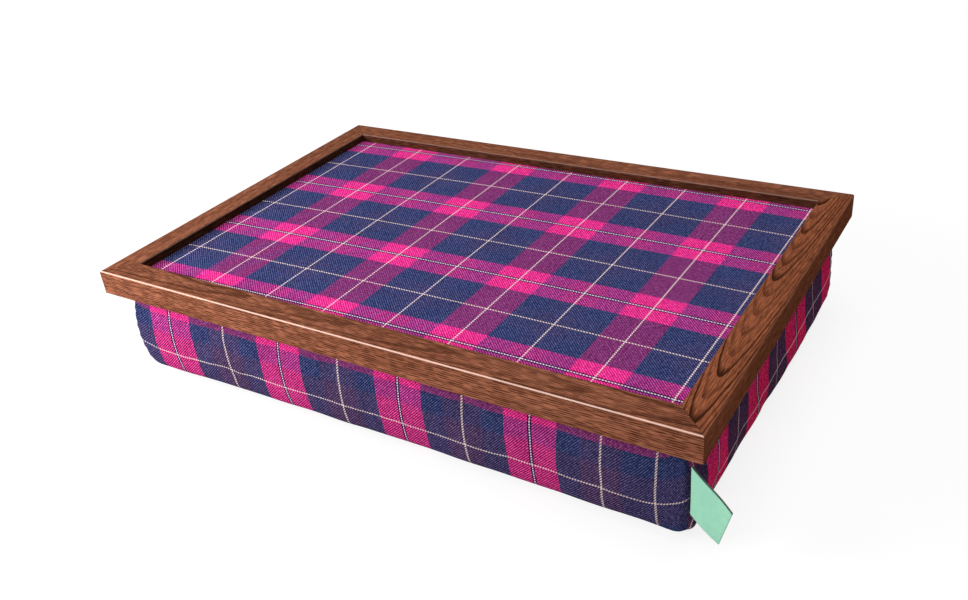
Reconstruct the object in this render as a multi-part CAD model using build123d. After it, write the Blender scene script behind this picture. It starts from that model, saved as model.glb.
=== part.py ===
from build123d import *
import os
from math import acos, cos, pi, radians, sin

# Lap tray: a mitred hardwood frame with a cloth-covered board dropped into its rebate from below,
# and a bag of beads that hangs from the same rebate and rests on the lap. Sizes are in millimetres,
# +Z is up, and the origin is the middle of the cushion's flat base.

# Overall sizes
tray_length = 440.0
tray_depth = 300.0
cushion_height = 70.0

# Frame moulding: a lip over the board, and a foot beside the rebate
rail_width = 20.0
rail_height = 18.0
rebate_width = 7.0
lip_height = 6.5
outer_arris_radius = 1.8
inner_arris_radius = 1.2
foot_arris_radius = 0.6

# Board and the cloth wrapped round it
board_thickness = 3.0
board_clearance = 0.5
tray_cloth_thickness = 0.6
cloth_nip = 0.2
turned_margin = 18.0

# Flat points that hold the board up
point_width = 6.0
point_length = 13.0
point_bite = 6.0
point_tip = 3.0
point_thickness = 0.6
point_pitch = 110.0
point_end_margin = 40.0

# V-nails across the mitres, driven up from below
nail_arm = 6.0
nail_thickness = 0.8
nail_height = 7.0
nail_set = 0.3
nail_place_shares = (0.3, 0.62)

# Staples through the hem
staple_crown = 10.0
staple_leg = 6.0
staple_wire = 0.7
staple_height = 3.6
staple_pitch = 42.0
staple_end_margin = 24.0

# Cushion cover: how far it swells between the frame and the base, and how its edges turn
cover_thickness = 0.8
hem_height = 5.7
side_swell = 5.3
side_draw = 2.0
base_edge_run = 20.0
base_edge_rise = 13.0
base_flat = 0.5
top_corner_radius = 3.0
corner_radius = 8.0
edge_steps = 8
side_steps = 6
corner_spread_share = 0.3

# Inner bag and beads
bag_thickness = 0.5

# Cloth tab in the front right corner seam
tab_length = 30.0
tab_root_width = 32.5
tab_tip_width = 27.0
tab_thickness = 0.8
tab_drop = 10.7
tab_crown = 0.8
tab_turn = 18.5
tab_droop = 31.0
tab_tip_tilt = 16.0

# Clearances: round driven steel, and between soft layers
driven_clearance = 0.1
soft_clearance = 0.3
cut_overrun = 1.0

# Places that follow from the sizes
rail_foot = rail_width - rebate_width
frame_top = cushion_height + rail_height
lip_underside = frame_top - lip_height
margin_thickness = tray_cloth_thickness - cloth_nip
board_top = lip_underside - margin_thickness
board_bottom = board_top - board_thickness
wrapped_bottom = board_bottom - tray_cloth_thickness
points_bottom = wrapped_bottom - point_thickness
hem_inside = rail_foot + cover_thickness

# The outside length and the place of each rail, which runs along its own X with its outer face at y = 0
rail_layout = {
    "front_rail": (tray_length, Location((0, -tray_depth / 2, cushion_height), (0, 0, 0))),
    "right_rail": (tray_depth, Location((tray_length / 2, 0, cushion_height), (0, 0, 90))),
    "back_rail": (tray_length, Location((0, tray_depth / 2, cushion_height), (0, 0, 180))),
    "left_rail": (tray_depth, Location((-tray_length / 2, 0, cushion_height), (0, 0, 270))),
}


def block(x_from, x_to, y_from, y_to, z_from, z_to):
    """A rectangular block between three pairs of limits."""
    size = (x_to - x_from, y_to - y_from, z_to - z_from)
    middle = ((x_from + x_to) / 2, (y_from + y_to) / 2, (z_from + z_to) / 2)
    return Pos(*middle) * Box(*size)


def prism(points, z_from, z_to):
    """A closed outline in plan, raised from one height to another."""
    outline = make_face(Polyline(*points, close=True))
    return Pos(0, 0, z_from) * extrude(outline, amount=z_to - z_from)


def spaced(length, margin, pitch):
    """Even places along a length, near the wanted pitch, with a margin at each end."""
    run = length - 2 * margin
    gaps = max(1, round(run / pitch))
    return [run * (i / gaps - 1 / 2) for i in range(gaps + 1)]


def point_places(length):
    """Places of the board points along a rail, about its middle."""
    return spaced(length - 2 * rail_foot, point_end_margin, point_pitch)


def staple_places(length):
    """Places of the hem staples along a rail, about its middle."""
    return spaced(length - 2 * rail_foot, staple_end_margin, staple_pitch)


def rail_section():
    """The moulding's section, with the lip above the rebate and the arrises taken off."""
    corners = [
        (0, 0),
        (0, rail_height),
        (rail_width, rail_height),
        (rail_width, rail_height - lip_height),
        (rail_foot, rail_height - lip_height),
        (rail_foot, 0),
    ]
    section = make_face(Polyline(*corners, close=True))
    rounded = {0: foot_arris_radius, 1: outer_arris_radius, 2: inner_arris_radius}
    for corner, radius in rounded.items():
        place = Vector(*corners[corner])
        nearest = min(section.vertices(), key=lambda v: (Vector(*v) - place).length)
        section = fillet(nearest, radius)
    return section


def board_point(place, clearance):
    """A flat steel point under the board, with its tip driven into the rebate's wall."""
    half = point_width / 2 + clearance
    tip = rail_foot - point_bite - clearance
    tail = rail_foot - point_bite + point_length + clearance
    shoulder = rail_foot - point_bite + point_tip
    points = [
        (place, tip),
        (place + half, shoulder),
        (place + half, tail),
        (place - half, tail),
        (place - half, shoulder),
    ]
    low = points_bottom - cushion_height - clearance
    high = wrapped_bottom - cushion_height + clearance
    return prism(points, low, high)


def v_nail(length, place_share, clearance, low):
    """A steel wedge across the mitre at a rail's left end, with an arm along each rail."""
    near = rail_foot * place_share - clearance
    far = rail_foot * place_share + nail_thickness + clearance
    end = rail_foot * place_share + nail_arm + clearance
    plan = [(near, near), (end, near), (end, far), (far, far), (far, end), (near, end)]
    points = [(x - length / 2, y) for x, y in plan]
    return prism(points, low, nail_set + nail_height + clearance)


def staple(place):
    """One staple: its crown lies on the hem, and its legs run out through the hem into the rail."""
    half = staple_crown / 2
    crown_face = hem_inside + staple_wire
    tip = crown_face - staple_leg
    points = [
        (place - half, tip),
        (place - half, crown_face),
        (place + half, crown_face),
        (place + half, tip),
        (place + half - staple_wire, tip),
        (place + half - staple_wire, hem_inside),
        (place - half + staple_wire, hem_inside),
        (place - half + staple_wire, tip),
    ]
    return prism(points, staple_height - staple_wire / 2, staple_height + staple_wire / 2)


def staple_holes(place):
    """The two holes that a staple's legs make in the hem and in the rail."""
    half = staple_crown / 2
    tip = hem_inside + staple_wire - staple_leg - driven_clearance
    low = staple_height - staple_wire / 2 - driven_clearance
    high = staple_height + staple_wire / 2 + driven_clearance
    holes = []
    for leg_from in (place - half, place + half - staple_wire):
        x_from = leg_from - driven_clearance
        x_to = leg_from + staple_wire + driven_clearance
        holes.append(block(x_from, x_to, tip, hem_inside, low, high))
    return holes


def rail(length):
    """A mitred rail on its own X axis, with the holes that its fasteners are driven into."""
    section = Plane.YZ * rail_section()
    bar = extrude(section, amount=length / 2, both=True)
    mitres = [
        (-length / 2, 0),
        (length / 2, 0),
        (length / 2 - rail_width, rail_width),
        (-length / 2 + rail_width, rail_width),
    ]
    bar = bar & prism(mitres, 0, rail_height)
    for place in point_places(length):
        bar -= board_point(place, driven_clearance)
    for place in staple_places(length):
        bar -= staple_holes(place)
    for place_share in nail_place_shares:
        socket = v_nail(length, place_share, driven_clearance, -cut_overrun)
        bar -= socket
        bar -= mirror(socket, about=Plane.YZ)
    return bar


def tray_board():
    """The board, smaller than the rebate by its clearance and the cloth that wraps its edges."""
    edge = rail_foot + board_clearance + tray_cloth_thickness
    half_length = tray_length / 2 - edge
    half_depth = tray_depth / 2 - edge
    return block(-half_length, half_length, -half_depth, half_depth, board_bottom, board_top)


def tray_cloth():
    """The cloth over the board: nipped under the lip, round the edges and turned under."""
    edge = rail_foot + board_clearance
    half_length = tray_length / 2 - edge
    half_depth = tray_depth / 2 - edge
    wrap = block(-half_length, half_length, -half_depth, half_depth, wrapped_bottom, lip_underside)
    field_length = tray_length / 2 - rail_width
    field_depth = tray_depth / 2 - rail_width
    field_top = lip_underside + cloth_nip
    wrap += block(-field_length, field_length, -field_depth, field_depth, board_top, field_top)
    wrap -= tray_board()
    open_length = half_length - turned_margin
    open_depth = half_depth - turned_margin
    below = wrapped_bottom - cut_overrun
    wrap -= block(-open_length, open_length, -open_depth, open_depth, below, board_bottom)
    return wrap


def swell_at(share):
    """How far the cushion's side stands out at a share of its height."""
    return side_swell * 4 * share * (1 - share)


def corner_radius_at(share):
    """The cushion's corner radius in plan, tight in the frame and full below it."""
    return top_corner_radius + (corner_radius - top_corner_radius) * (1 - share ** 3)


def cushion_outline(height, inset, radius, draw):
    """The cushion in plan at one height: four rounded corners and four sides drawn in between them."""
    x = tray_length / 2 - inset
    y = tray_depth / 2 - inset
    cut = radius * (1 - cos(pi / 4))
    corners = [
        ((x - radius, -y), (x - cut, -y + cut), (x, -y + radius)),
        ((x, y - radius), (x - cut, y - cut), (x - radius, y)),
        ((-x + radius, y), (-x + cut, y - cut), (-x, y - radius)),
        ((-x, -y + radius), (-x + cut, -y + cut), (-x + radius, -y)),
    ]
    side_middles = [(x - draw, 0), (0, y - draw), (-x + draw, 0), (0, -y + draw)]
    edges = []
    for i, corner in enumerate(corners):
        start = corner[2]
        end = corners[(i + 1) % len(corners)][0]
        edges.append(ThreePointArc(*corner))
        if draw > 0:
            edges.append(ThreePointArc(start, side_middles[i], end))
        else:
            edges.append(Line(start, end))
    return Pos(0, 0, height) * make_face(edges)


def base_edge_stations():
    """Height and added inset of each section round the base's turned edge, which is a part of an ellipse."""
    start = acos(1 - base_flat / base_edge_rise)
    angles = [start + (pi / 2 - start) * i / edge_steps for i in range(edge_steps + 1)]
    return [
        (base_edge_rise * (1 - cos(angle)) - base_flat, base_edge_run * (1 - sin(angle)))
        for angle in angles
    ]


def side_stations():
    """Height and added inset of each section of the sides, above the turned edge and up to the frame."""
    foot = base_edge_rise - base_flat
    rise = (cushion_height - foot) / side_steps
    return [(foot + rise * (i + 1), 0) for i in range(side_steps)]


def cushion_section(height, turn, skin, neck_inset):
    """The cushion's outline at a height, a skin's depth inside its outer face."""
    share = height / cushion_height
    tuck = (neck_inset - rail_foot - skin) * share ** 4
    inset = rail_foot - swell_at(share) + turn + skin + tuck
    radius = corner_radius_at(share) + turn * corner_spread_share
    draw = side_draw * (1 - share ** 2)
    level = skin + height * (cushion_height - skin) / cushion_height
    return cushion_outline(level, inset, radius, draw)


def cushion_form(skin, neck_inset, top):
    """The cushion's form a skin's depth inside its outer face, with a straight neck up to a height."""
    stations = base_edge_stations() + side_stations()
    sections = [cushion_section(*station, skin, neck_inset) for station in stations]
    neck = extrude(sections[-1], amount=top - cushion_height, dir=(0, 0, 1))
    return loft(sections, ruled=True) + neck


def cushion_cover():
    """The cloth bag, open at the top, with the staples' holes through its hem."""
    hem_top = cushion_height + hem_height
    cover = cushion_form(0, rail_foot, hem_top)
    cover -= cushion_form(cover_thickness, hem_inside, hem_top + cut_overrun)
    for length, place in rail_layout.values():
        for staple_place in staple_places(length):
            cover -= [place * hole for hole in staple_holes(staple_place)]
    return cover


def bag_form(depth):
    """The inner bag's form at a depth inside its outer face."""
    skin = cover_thickness + soft_clearance + depth
    neck_inset = hem_inside + staple_wire + soft_clearance + depth
    return cushion_form(skin, neck_inset, points_bottom - soft_clearance - depth)


def label_tab():
    """The cloth tab, which stands out of the corner seam under the frame and droops at its tip."""
    full_radius = corner_radius_at(1 / 2)
    seam_inset = rail_foot - swell_at(1 / 2) + full_radius * (1 - cos(pi / 4))
    seat_inset = seam_inset - soft_clearance - tab_thickness / 2
    seat = Pos(tray_length / 2 - seat_inset, -tray_depth / 2 + seat_inset, cushion_height - tab_drop)
    droop = radians(tab_droop)
    tilt = radians(tab_tip_tilt)
    root_low = (0, -tab_root_width)
    tip = (tab_length * cos(droop), -tab_length * sin(droop))
    tip_low = (tip[0] - tab_tip_width * sin(tilt), tip[1] - tab_tip_width * cos(tilt))
    top_middle = (tip[0] / 2 + tab_crown * sin(droop), tip[1] / 2 + tab_crown * cos(droop))
    low_middle = (tip_low[0] / 2, (tip_low[1] - tab_root_width) / 2 + tab_crown)
    outline = make_face(
        [
            ThreePointArc((0, 0), top_middle, tip),
            Line(tip, tip_low),
            ThreePointArc(tip_low, low_middle, root_low),
            Line(root_low, (0, 0)),
        ]
    )
    sheet = extrude(Plane.XZ * outline, amount=tab_thickness / 2, both=True)
    return seat * Rot(0, 0, -tab_turn) * sheet


def main():
    """Builds every piece in its place and writes each one to its own file."""
    pieces = {}
    points, nails, staples = [], [], []
    for name, (length, place) in rail_layout.items():
        pieces[name] = place * rail(length)
        points += [place * board_point(x, 0) for x in point_places(length)]
        nails += [place * v_nail(length, share, 0, nail_set) for share in nail_place_shares]
        staples += [place * staple(x) for x in staple_places(length)]
    pieces["board_points"] = Compound(children=points)
    pieces["corner_v_nails"] = Compound(children=nails)
    pieces["hem_staples"] = Compound(children=staples)
    pieces["tray_board"] = tray_board()
    pieces["tray_cloth"] = tray_cloth()
    pieces["cushion_cover"] = cushion_cover()
    pieces["inner_bag"] = bag_form(0) - bag_form(bag_thickness)
    pieces["bead_filling"] = bag_form(bag_thickness + soft_clearance)
    pieces["label_tab"] = label_tab()

    os.makedirs("parts", exist_ok=True)
    for name, piece in pieces.items():
        export_step(piece, f"parts/{name}.step")


main()
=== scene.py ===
"""A lap tray on a bead-filled cushion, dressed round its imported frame.

Every length is in metres. The classes follow the object's own sub-assemblies: the hardwood frame with its
steel fasteners, the cloth-covered tray panel, the cushion that hangs from the frame, and the cloth tab.
"""

import logging
import math
from abc import ABC, abstractmethod
from collections.abc import Callable
from dataclasses import dataclass, replace
from enum import Enum, IntEnum

import bmesh
import bpy
import numpy as np
from mathutils import Matrix, Vector

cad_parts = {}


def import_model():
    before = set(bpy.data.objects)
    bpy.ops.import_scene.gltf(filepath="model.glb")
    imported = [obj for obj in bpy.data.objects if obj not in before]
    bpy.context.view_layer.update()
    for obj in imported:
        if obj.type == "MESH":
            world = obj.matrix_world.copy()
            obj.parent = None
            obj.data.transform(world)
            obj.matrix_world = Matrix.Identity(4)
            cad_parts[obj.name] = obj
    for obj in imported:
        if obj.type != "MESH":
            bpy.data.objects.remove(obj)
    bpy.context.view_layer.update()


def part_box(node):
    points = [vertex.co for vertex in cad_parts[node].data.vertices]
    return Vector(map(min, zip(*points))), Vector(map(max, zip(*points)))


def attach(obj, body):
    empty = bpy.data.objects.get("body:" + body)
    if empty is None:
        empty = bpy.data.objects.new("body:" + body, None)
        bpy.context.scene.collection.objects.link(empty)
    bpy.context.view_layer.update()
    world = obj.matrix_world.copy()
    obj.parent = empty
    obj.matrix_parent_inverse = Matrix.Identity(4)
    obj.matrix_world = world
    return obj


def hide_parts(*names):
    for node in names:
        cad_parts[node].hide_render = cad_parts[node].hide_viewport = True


LOG = logging.getLogger("lap_tray")
MM = 0.001
BODY = "root"
CLOTH_MAP = "cloth"
Colour = tuple[float, float, float, float]
Span = tuple[float, float]
Sides = list[np.ndarray]
TINY = 1e-12
WHITE: Colour = (1.0, 1.0, 1.0, 1.0)


def tone(red: int, green: int, blue: int) -> Colour:
    """Turns a colour, given 0 to 255 a channel, into the linear values that shaders take.

    The sRGB curve is a straight line up to a share of 0.04045, and a power of 2.4 above it.

    Args:
        red: The red channel.
        green: The green channel.
        blue: The blue channel.

    Returns:
        Linear red, green, blue and an alpha of one.
    """
    shares = np.array([red, green, blue]) / 255
    linear = np.where(shares <= 0.04045, shares / 12.92, ((shares + 0.055) / 1.055) ** 2.4)
    return (float(linear[0]), float(linear[1]), float(linear[2]), 1.0)


def smooth_step(value: np.ndarray, low: float, high: float) -> np.ndarray:
    """Rises from 0 at low to 1 at high along the cubic 3s^2 - 2s^3.

    Args:
        value: Where to read the curve.
        low: Where it leaves 0.
        high: Where it reaches 1.

    Returns:
        The curve's values.
    """
    share = np.clip((value - low) / (high - low), 0, 1)
    return share * share * (3 - 2 * share)


def run_along(line: np.ndarray) -> np.ndarray:
    """Length along a line of points, from 0 at the first of them."""
    return np.concatenate([[0], np.cumsum(np.linalg.norm(np.diff(line, axis=0), axis=1))])


def step_of(operation: str) -> Callable[..., "Wire"]:
    """Makes a wire's method for one operation of the Math node."""

    def method(self: "Wire", *others: "Wire | float") -> "Wire":
        """Adds the Math node."""
        return self.paint.math(operation, self, *others)

    return method


class Wire:
    """A shader value that takes part in plain arithmetic, with one Math node to each step.

    A comparison gives one where it holds, and otherwise zero. The remainder is never negative.
    """

    __add__ = step_of("ADD")
    __sub__ = step_of("SUBTRACT")
    __mul__ = step_of("MULTIPLY")
    __truediv__ = step_of("DIVIDE")
    __mod__ = step_of("FLOORED_MODULO")
    __abs__ = step_of("ABSOLUTE")
    __lt__ = step_of("LESS_THAN")
    __gt__ = step_of("GREATER_THAN")
    at_least = step_of("MAXIMUM")
    floor = step_of("FLOOR")
    fraction = step_of("FRACT")
    root = step_of("SQRT")
    sine = step_of("SINE")

    def __init__(self, paint: "Paint", socket: bpy.types.NodeSocket | None) -> None:
        """Wraps an output socket of a paint's node tree."""
        self.paint = paint
        self.socket = socket

    def __rsub__(self, other: float) -> "Wire":
        """Subtracts this from a number."""
        return self.paint.math("SUBTRACT", other, self)

    def rise(self, low: float, high: float) -> "Wire":
        """Smooth rise from 0 at low to 1 at high, or a fall where high is below low."""
        ends = {"Value": self, "From Min": low, "From Max": high}
        return self.paint.node("ShaderNodeMapRange", {"interpolation_type": "SMOOTHSTEP"}, ends)

    def swung(self, size: float) -> "Wire":
        """Turns 0 to 1 into a swing of this size about 1."""
        return self * size + (1 - size / 2)

    def down_to(self, low: float) -> "Wire":
        """Turns 0 to 1 into low to 1."""
        return self * (1 - low) + low

    def hump(self) -> "Wire":
        """Half a sine over each whole step, as over a round thread."""
        return (self.fraction() * math.pi).sine()


@dataclass(frozen=True)
class Grain:
    """A noise texture: its fineness and layers, how far it is drawn out, and the part of it that is used.

    Drawn is the share of its first place that counts, so that less than 1 draws it out along that axis.
    """

    scale: float
    detail: float = 2.0
    roughness: float = 0.5
    drawn: float = 1.0
    spread: Span | None = None


@dataclass(frozen=True)
class Relief:
    """How deep the fine relief of a surface is, and how strongly it shows."""

    depth: float
    strength: float = 1.0


class Paint:
    """Builds one node tree, such as a material's, from expressions."""

    def __init__(self, tree: bpy.types.NodeTree) -> None:
        """Empties the tree and starts it anew."""
        self.tree = tree
        tree.nodes.clear()

    def node(
        self,
        kind: str,
        settings: dict[str, object] | None = None,
        inputs: dict[int | str, object] | None = None,
        output: int | str = 0,
    ) -> Wire:
        """Adds a node of any type.

        Args:
            kind: The node's type.
            settings: Its properties, set first.
            inputs: Values or wires by the socket's index, identifier or name.
            output: The wanted output's index, identifier or name.

        Returns:
            The wanted output as a wire.
        """
        made = self.tree.nodes.new(kind)
        for name, value in (settings or {}).items():
            setattr(made, name, value)
        for key, value in (inputs or {}).items():
            socket = self._find(made.inputs, key)
            if isinstance(value, Wire):
                self.tree.links.new(value.socket, socket)
            else:
                socket.default_value = value
        if not made.outputs:
            return Wire(self, None)
        return Wire(self, self._find(made.outputs, output))

    @staticmethod
    def _find(sockets: bpy.types.bpy_prop_collection, key: int | str) -> bpy.types.NodeSocket:
        """Finds a socket by its index, identifier or name."""
        if isinstance(key, int):
            return sockets[key]
        named = [s for s in sockets if s.identifier == key] or [s for s in sockets if s.name == key]
        return named[0]

    def math(self, operation: str, *values: Wire | float) -> Wire:
        """Adds a Math node for one step of arithmetic."""
        return self.node("ShaderNodeMath", {"operation": operation}, dict(enumerate(values)))

    def mix(self, first: Wire | Colour, second: Wire | Colour, share: Wire | float) -> Wire:
        """Mixes two colours, where a share of 1 is all of the second."""
        inputs = {"Factor_Float": share, "A_Color": first, "B_Color": second}
        return self.node("ShaderNodeMix", {"data_type": "RGBA"}, inputs, "Result_Color")

    def lit(self, colour: Wire, strength: Wire | float) -> Wire:
        """Makes a colour brighter or darker."""
        return self.node("ShaderNodeVectorMath", {"operation": "SCALE"}, {0: colour, "Scale": strength})

    def object_place(self) -> Wire:
        """Place on the object, in metres."""
        return self.node("ShaderNodeTexCoord", output="Object")

    def cloth_place(self) -> tuple[Wire, Wire]:
        """The cloth's own two coordinates, in metres, as the piece's map holds them."""
        place = self.node("ShaderNodeUVMap", {"uv_map": CLOTH_MAP})
        return self.split(place)[:2]

    def split(self, vector: Wire) -> tuple[Wire, Wire, Wire]:
        """Splits a vector into its three numbers."""
        parts = self.node("ShaderNodeSeparateXYZ", inputs={0: vector}).socket.node.outputs
        return Wire(self, parts[0]), Wire(self, parts[1]), Wire(self, parts[2])

    def join(self, x: Wire | float, y: Wire | float, z: Wire | float = 0.0) -> Wire:
        """Makes a vector from three numbers."""
        return self.node("ShaderNodeCombineXYZ", inputs={0: x, 1: y, 2: z})

    def grain(self, grain: Grain, along: Wire, across: Wire, up: Wire | float = 0.0) -> Wire:
        """Soft noise about one half, or from 0 to 1 over its spread.

        Args:
            grain: The noise.
            along: Its place on the axis that it is drawn out along.
            across: Its second place.
            up: Its third place.

        Returns:
            The noise.
        """
        inputs = {
            "Vector": self.join(along * grain.drawn, across, up),
            "Scale": grain.scale,
            "Detail": grain.detail,
            "Roughness": grain.roughness,
        }
        noise = self.node("ShaderNodeTexNoise", inputs=inputs)
        return noise.rise(*grain.spread) if grain.spread else noise

    def speckle(self, first: Wire, second: Wire | float) -> Wire:
        """An even random number for each whole place."""
        place = self.join(first, second)
        return self.node("ShaderNodeTexWhiteNoise", {"noise_dimensions": "2D"}, {"Vector": place})

    def bump(self, height: Wire, relief: Relief) -> Wire:
        """A normal for heights between 0 and 1."""
        inputs = {"Height": height, "Distance": relief.depth, "Strength": relief.strength}
        return self.node("ShaderNodeBump", inputs=inputs)

    def surface(self, sockets: dict[str, Wire | float | Colour]) -> None:
        """Ends a material with its shader, whose sockets take these values and wires."""
        shader = self.node("ShaderNodeBsdfPrincipled", inputs=sockets)
        self.node("ShaderNodeOutputMaterial", inputs={"Surface": shader})


@dataclass(frozen=True)
class Finish(ABC):
    """What a surface looks like."""

    name: str

    def material(self) -> bpy.types.Material:
        """Makes the finish's material.

        Returns:
            The material.
        """
        material = bpy.data.materials.new(self.name)
        material.use_nodes = True
        self.fill(Paint(material.node_tree))
        return material

    @abstractmethod
    def fill(self, paint: Paint) -> None:
        """Builds the material's nodes."""


class Figure(Enum):
    """How a length of wood was sawn, which sets the figure on its top face."""

    STRAIGHT = "straight"
    FLAME = "flame"
    CATHEDRAL = "cathedral"


@dataclass(frozen=True)
class Growth:
    """Where the tree's pith lies beside a rail, how its rings run, and how dark they and its vessels are."""

    pith_across: float
    pith_depth: float
    drift: float
    taper: float
    ring_pitch: float
    wander: float
    late_strength: float
    dash_strength: float


GROWTHS = {
    Figure.STRAIGHT: Growth(
        pith_across=34 * MM,
        pith_depth=-70 * MM,
        drift=0.02,
        taper=0.004,
        ring_pitch=2.1 * MM,
        wander=2.6 * MM,
        late_strength=0.4,
        dash_strength=0.8,
    ),
    Figure.FLAME: Growth(
        pith_across=15 * MM,
        pith_depth=-16 * MM,
        drift=0.01,
        taper=0.022,
        ring_pitch=1.9 * MM,
        wander=3.4 * MM,
        late_strength=0.7,
        dash_strength=0.8,
    ),
    Figure.CATHEDRAL: Growth(
        pith_across=12.2 * MM,
        pith_depth=10 * MM,
        drift=-0.03,
        taper=-0.068,
        ring_pitch=1.5 * MM,
        wander=1.2 * MM,
        late_strength=0.9,
        dash_strength=0.42,
    ),
}


@dataclass(frozen=True)
class Stain:
    """The colours of a stained rail, from its pale wood to its darkest pores, and the colour of the painted
    highlight along its arrises.
    """

    pale: Colour
    deep: Colour
    late: Colour
    pore: Colour
    # The colour of the painted highlight along the arrises.
    highlight_colour: Colour


WARM_STAIN = Stain(
    pale=tone(173, 110, 83),
    deep=tone(131, 77, 55),
    late=tone(60, 29, 18),
    pore=tone(44, 21, 13),
    highlight_colour=tone(246, 206, 190),
)
DARK_STAIN = Stain(
    pale=tone(176, 103, 71),
    deep=tone(130, 75, 50),
    late=tone(38, 16, 10),
    pore=tone(30, 13, 8),
    highlight_colour=tone(225, 175, 150),
)


@dataclass(frozen=True)
class RailLook:
    """How one rail was sawn and stained, how strong its painted highlights, painted shade and painted light
    are, and how it lies in the model.

    The turn brings its length onto its grain, and the log shift gives it its own stretch of the log.
    """

    figure: Figure
    stain: Stain
    turn: float
    log_shift: float
    # Strengths of the painted highlight along the outer and the inner top arris.
    outer_arris_highlight: float
    inner_arris_highlight: float
    # Strength of the painted shade on the face towards the tray.
    inner_painted_shade: float
    # Brightness of the outer face: painted light above 1, painted shade below it.
    outer_face_painted_light: float


RAIL_LOOKS = {
    "front_rail": RailLook(
        figure=Figure.FLAME,
        stain=WARM_STAIN,
        turn=0.0,
        log_shift=0.31,
        outer_arris_highlight=0.9,
        inner_arris_highlight=0.0,
        inner_painted_shade=0.4,
        outer_face_painted_light=1.1,
    ),
    "right_rail": RailLook(
        figure=Figure.CATHEDRAL,
        stain=DARK_STAIN,
        turn=-math.pi / 2,
        log_shift=0.05,
        outer_arris_highlight=0.1,
        inner_arris_highlight=0.05,
        inner_painted_shade=0.3,
        outer_face_painted_light=0.85,
    ),
    "back_rail": RailLook(
        figure=Figure.STRAIGHT,
        stain=WARM_STAIN,
        turn=math.pi,
        log_shift=0.83,
        outer_arris_highlight=0.03,
        inner_arris_highlight=0.18,
        inner_painted_shade=0.62,
        outer_face_painted_light=1.1,
    ),
    "left_rail": RailLook(
        figure=Figure.STRAIGHT,
        stain=WARM_STAIN,
        turn=math.pi / 2,
        log_shift=1.37,
        outer_arris_highlight=0.1,
        inner_arris_highlight=0.12,
        inner_painted_shade=0.75,
        outer_face_painted_light=1.1,
    ),
}


@dataclass(frozen=True)
class Layout:
    """The frame's main places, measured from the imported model."""

    half_length: float
    half_depth: float
    rail_width: float
    frame_foot: float
    frame_top: float

    @classmethod
    def measured(cls) -> "Layout":
        """Reads the rails' boxes.

        Returns:
            The layout.
        """
        low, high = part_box("front_rail")
        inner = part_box("left_rail")[1]
        return cls(high.x, -low.y, inner.x + high.x, low.z, high.z)

    def halves(self, quarter: int) -> Span:
        """Half the length of a side of the frame, and its distance from the middle."""
        if quarter % 2:
            return self.half_depth, self.half_length
        return self.half_length, self.half_depth


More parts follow.
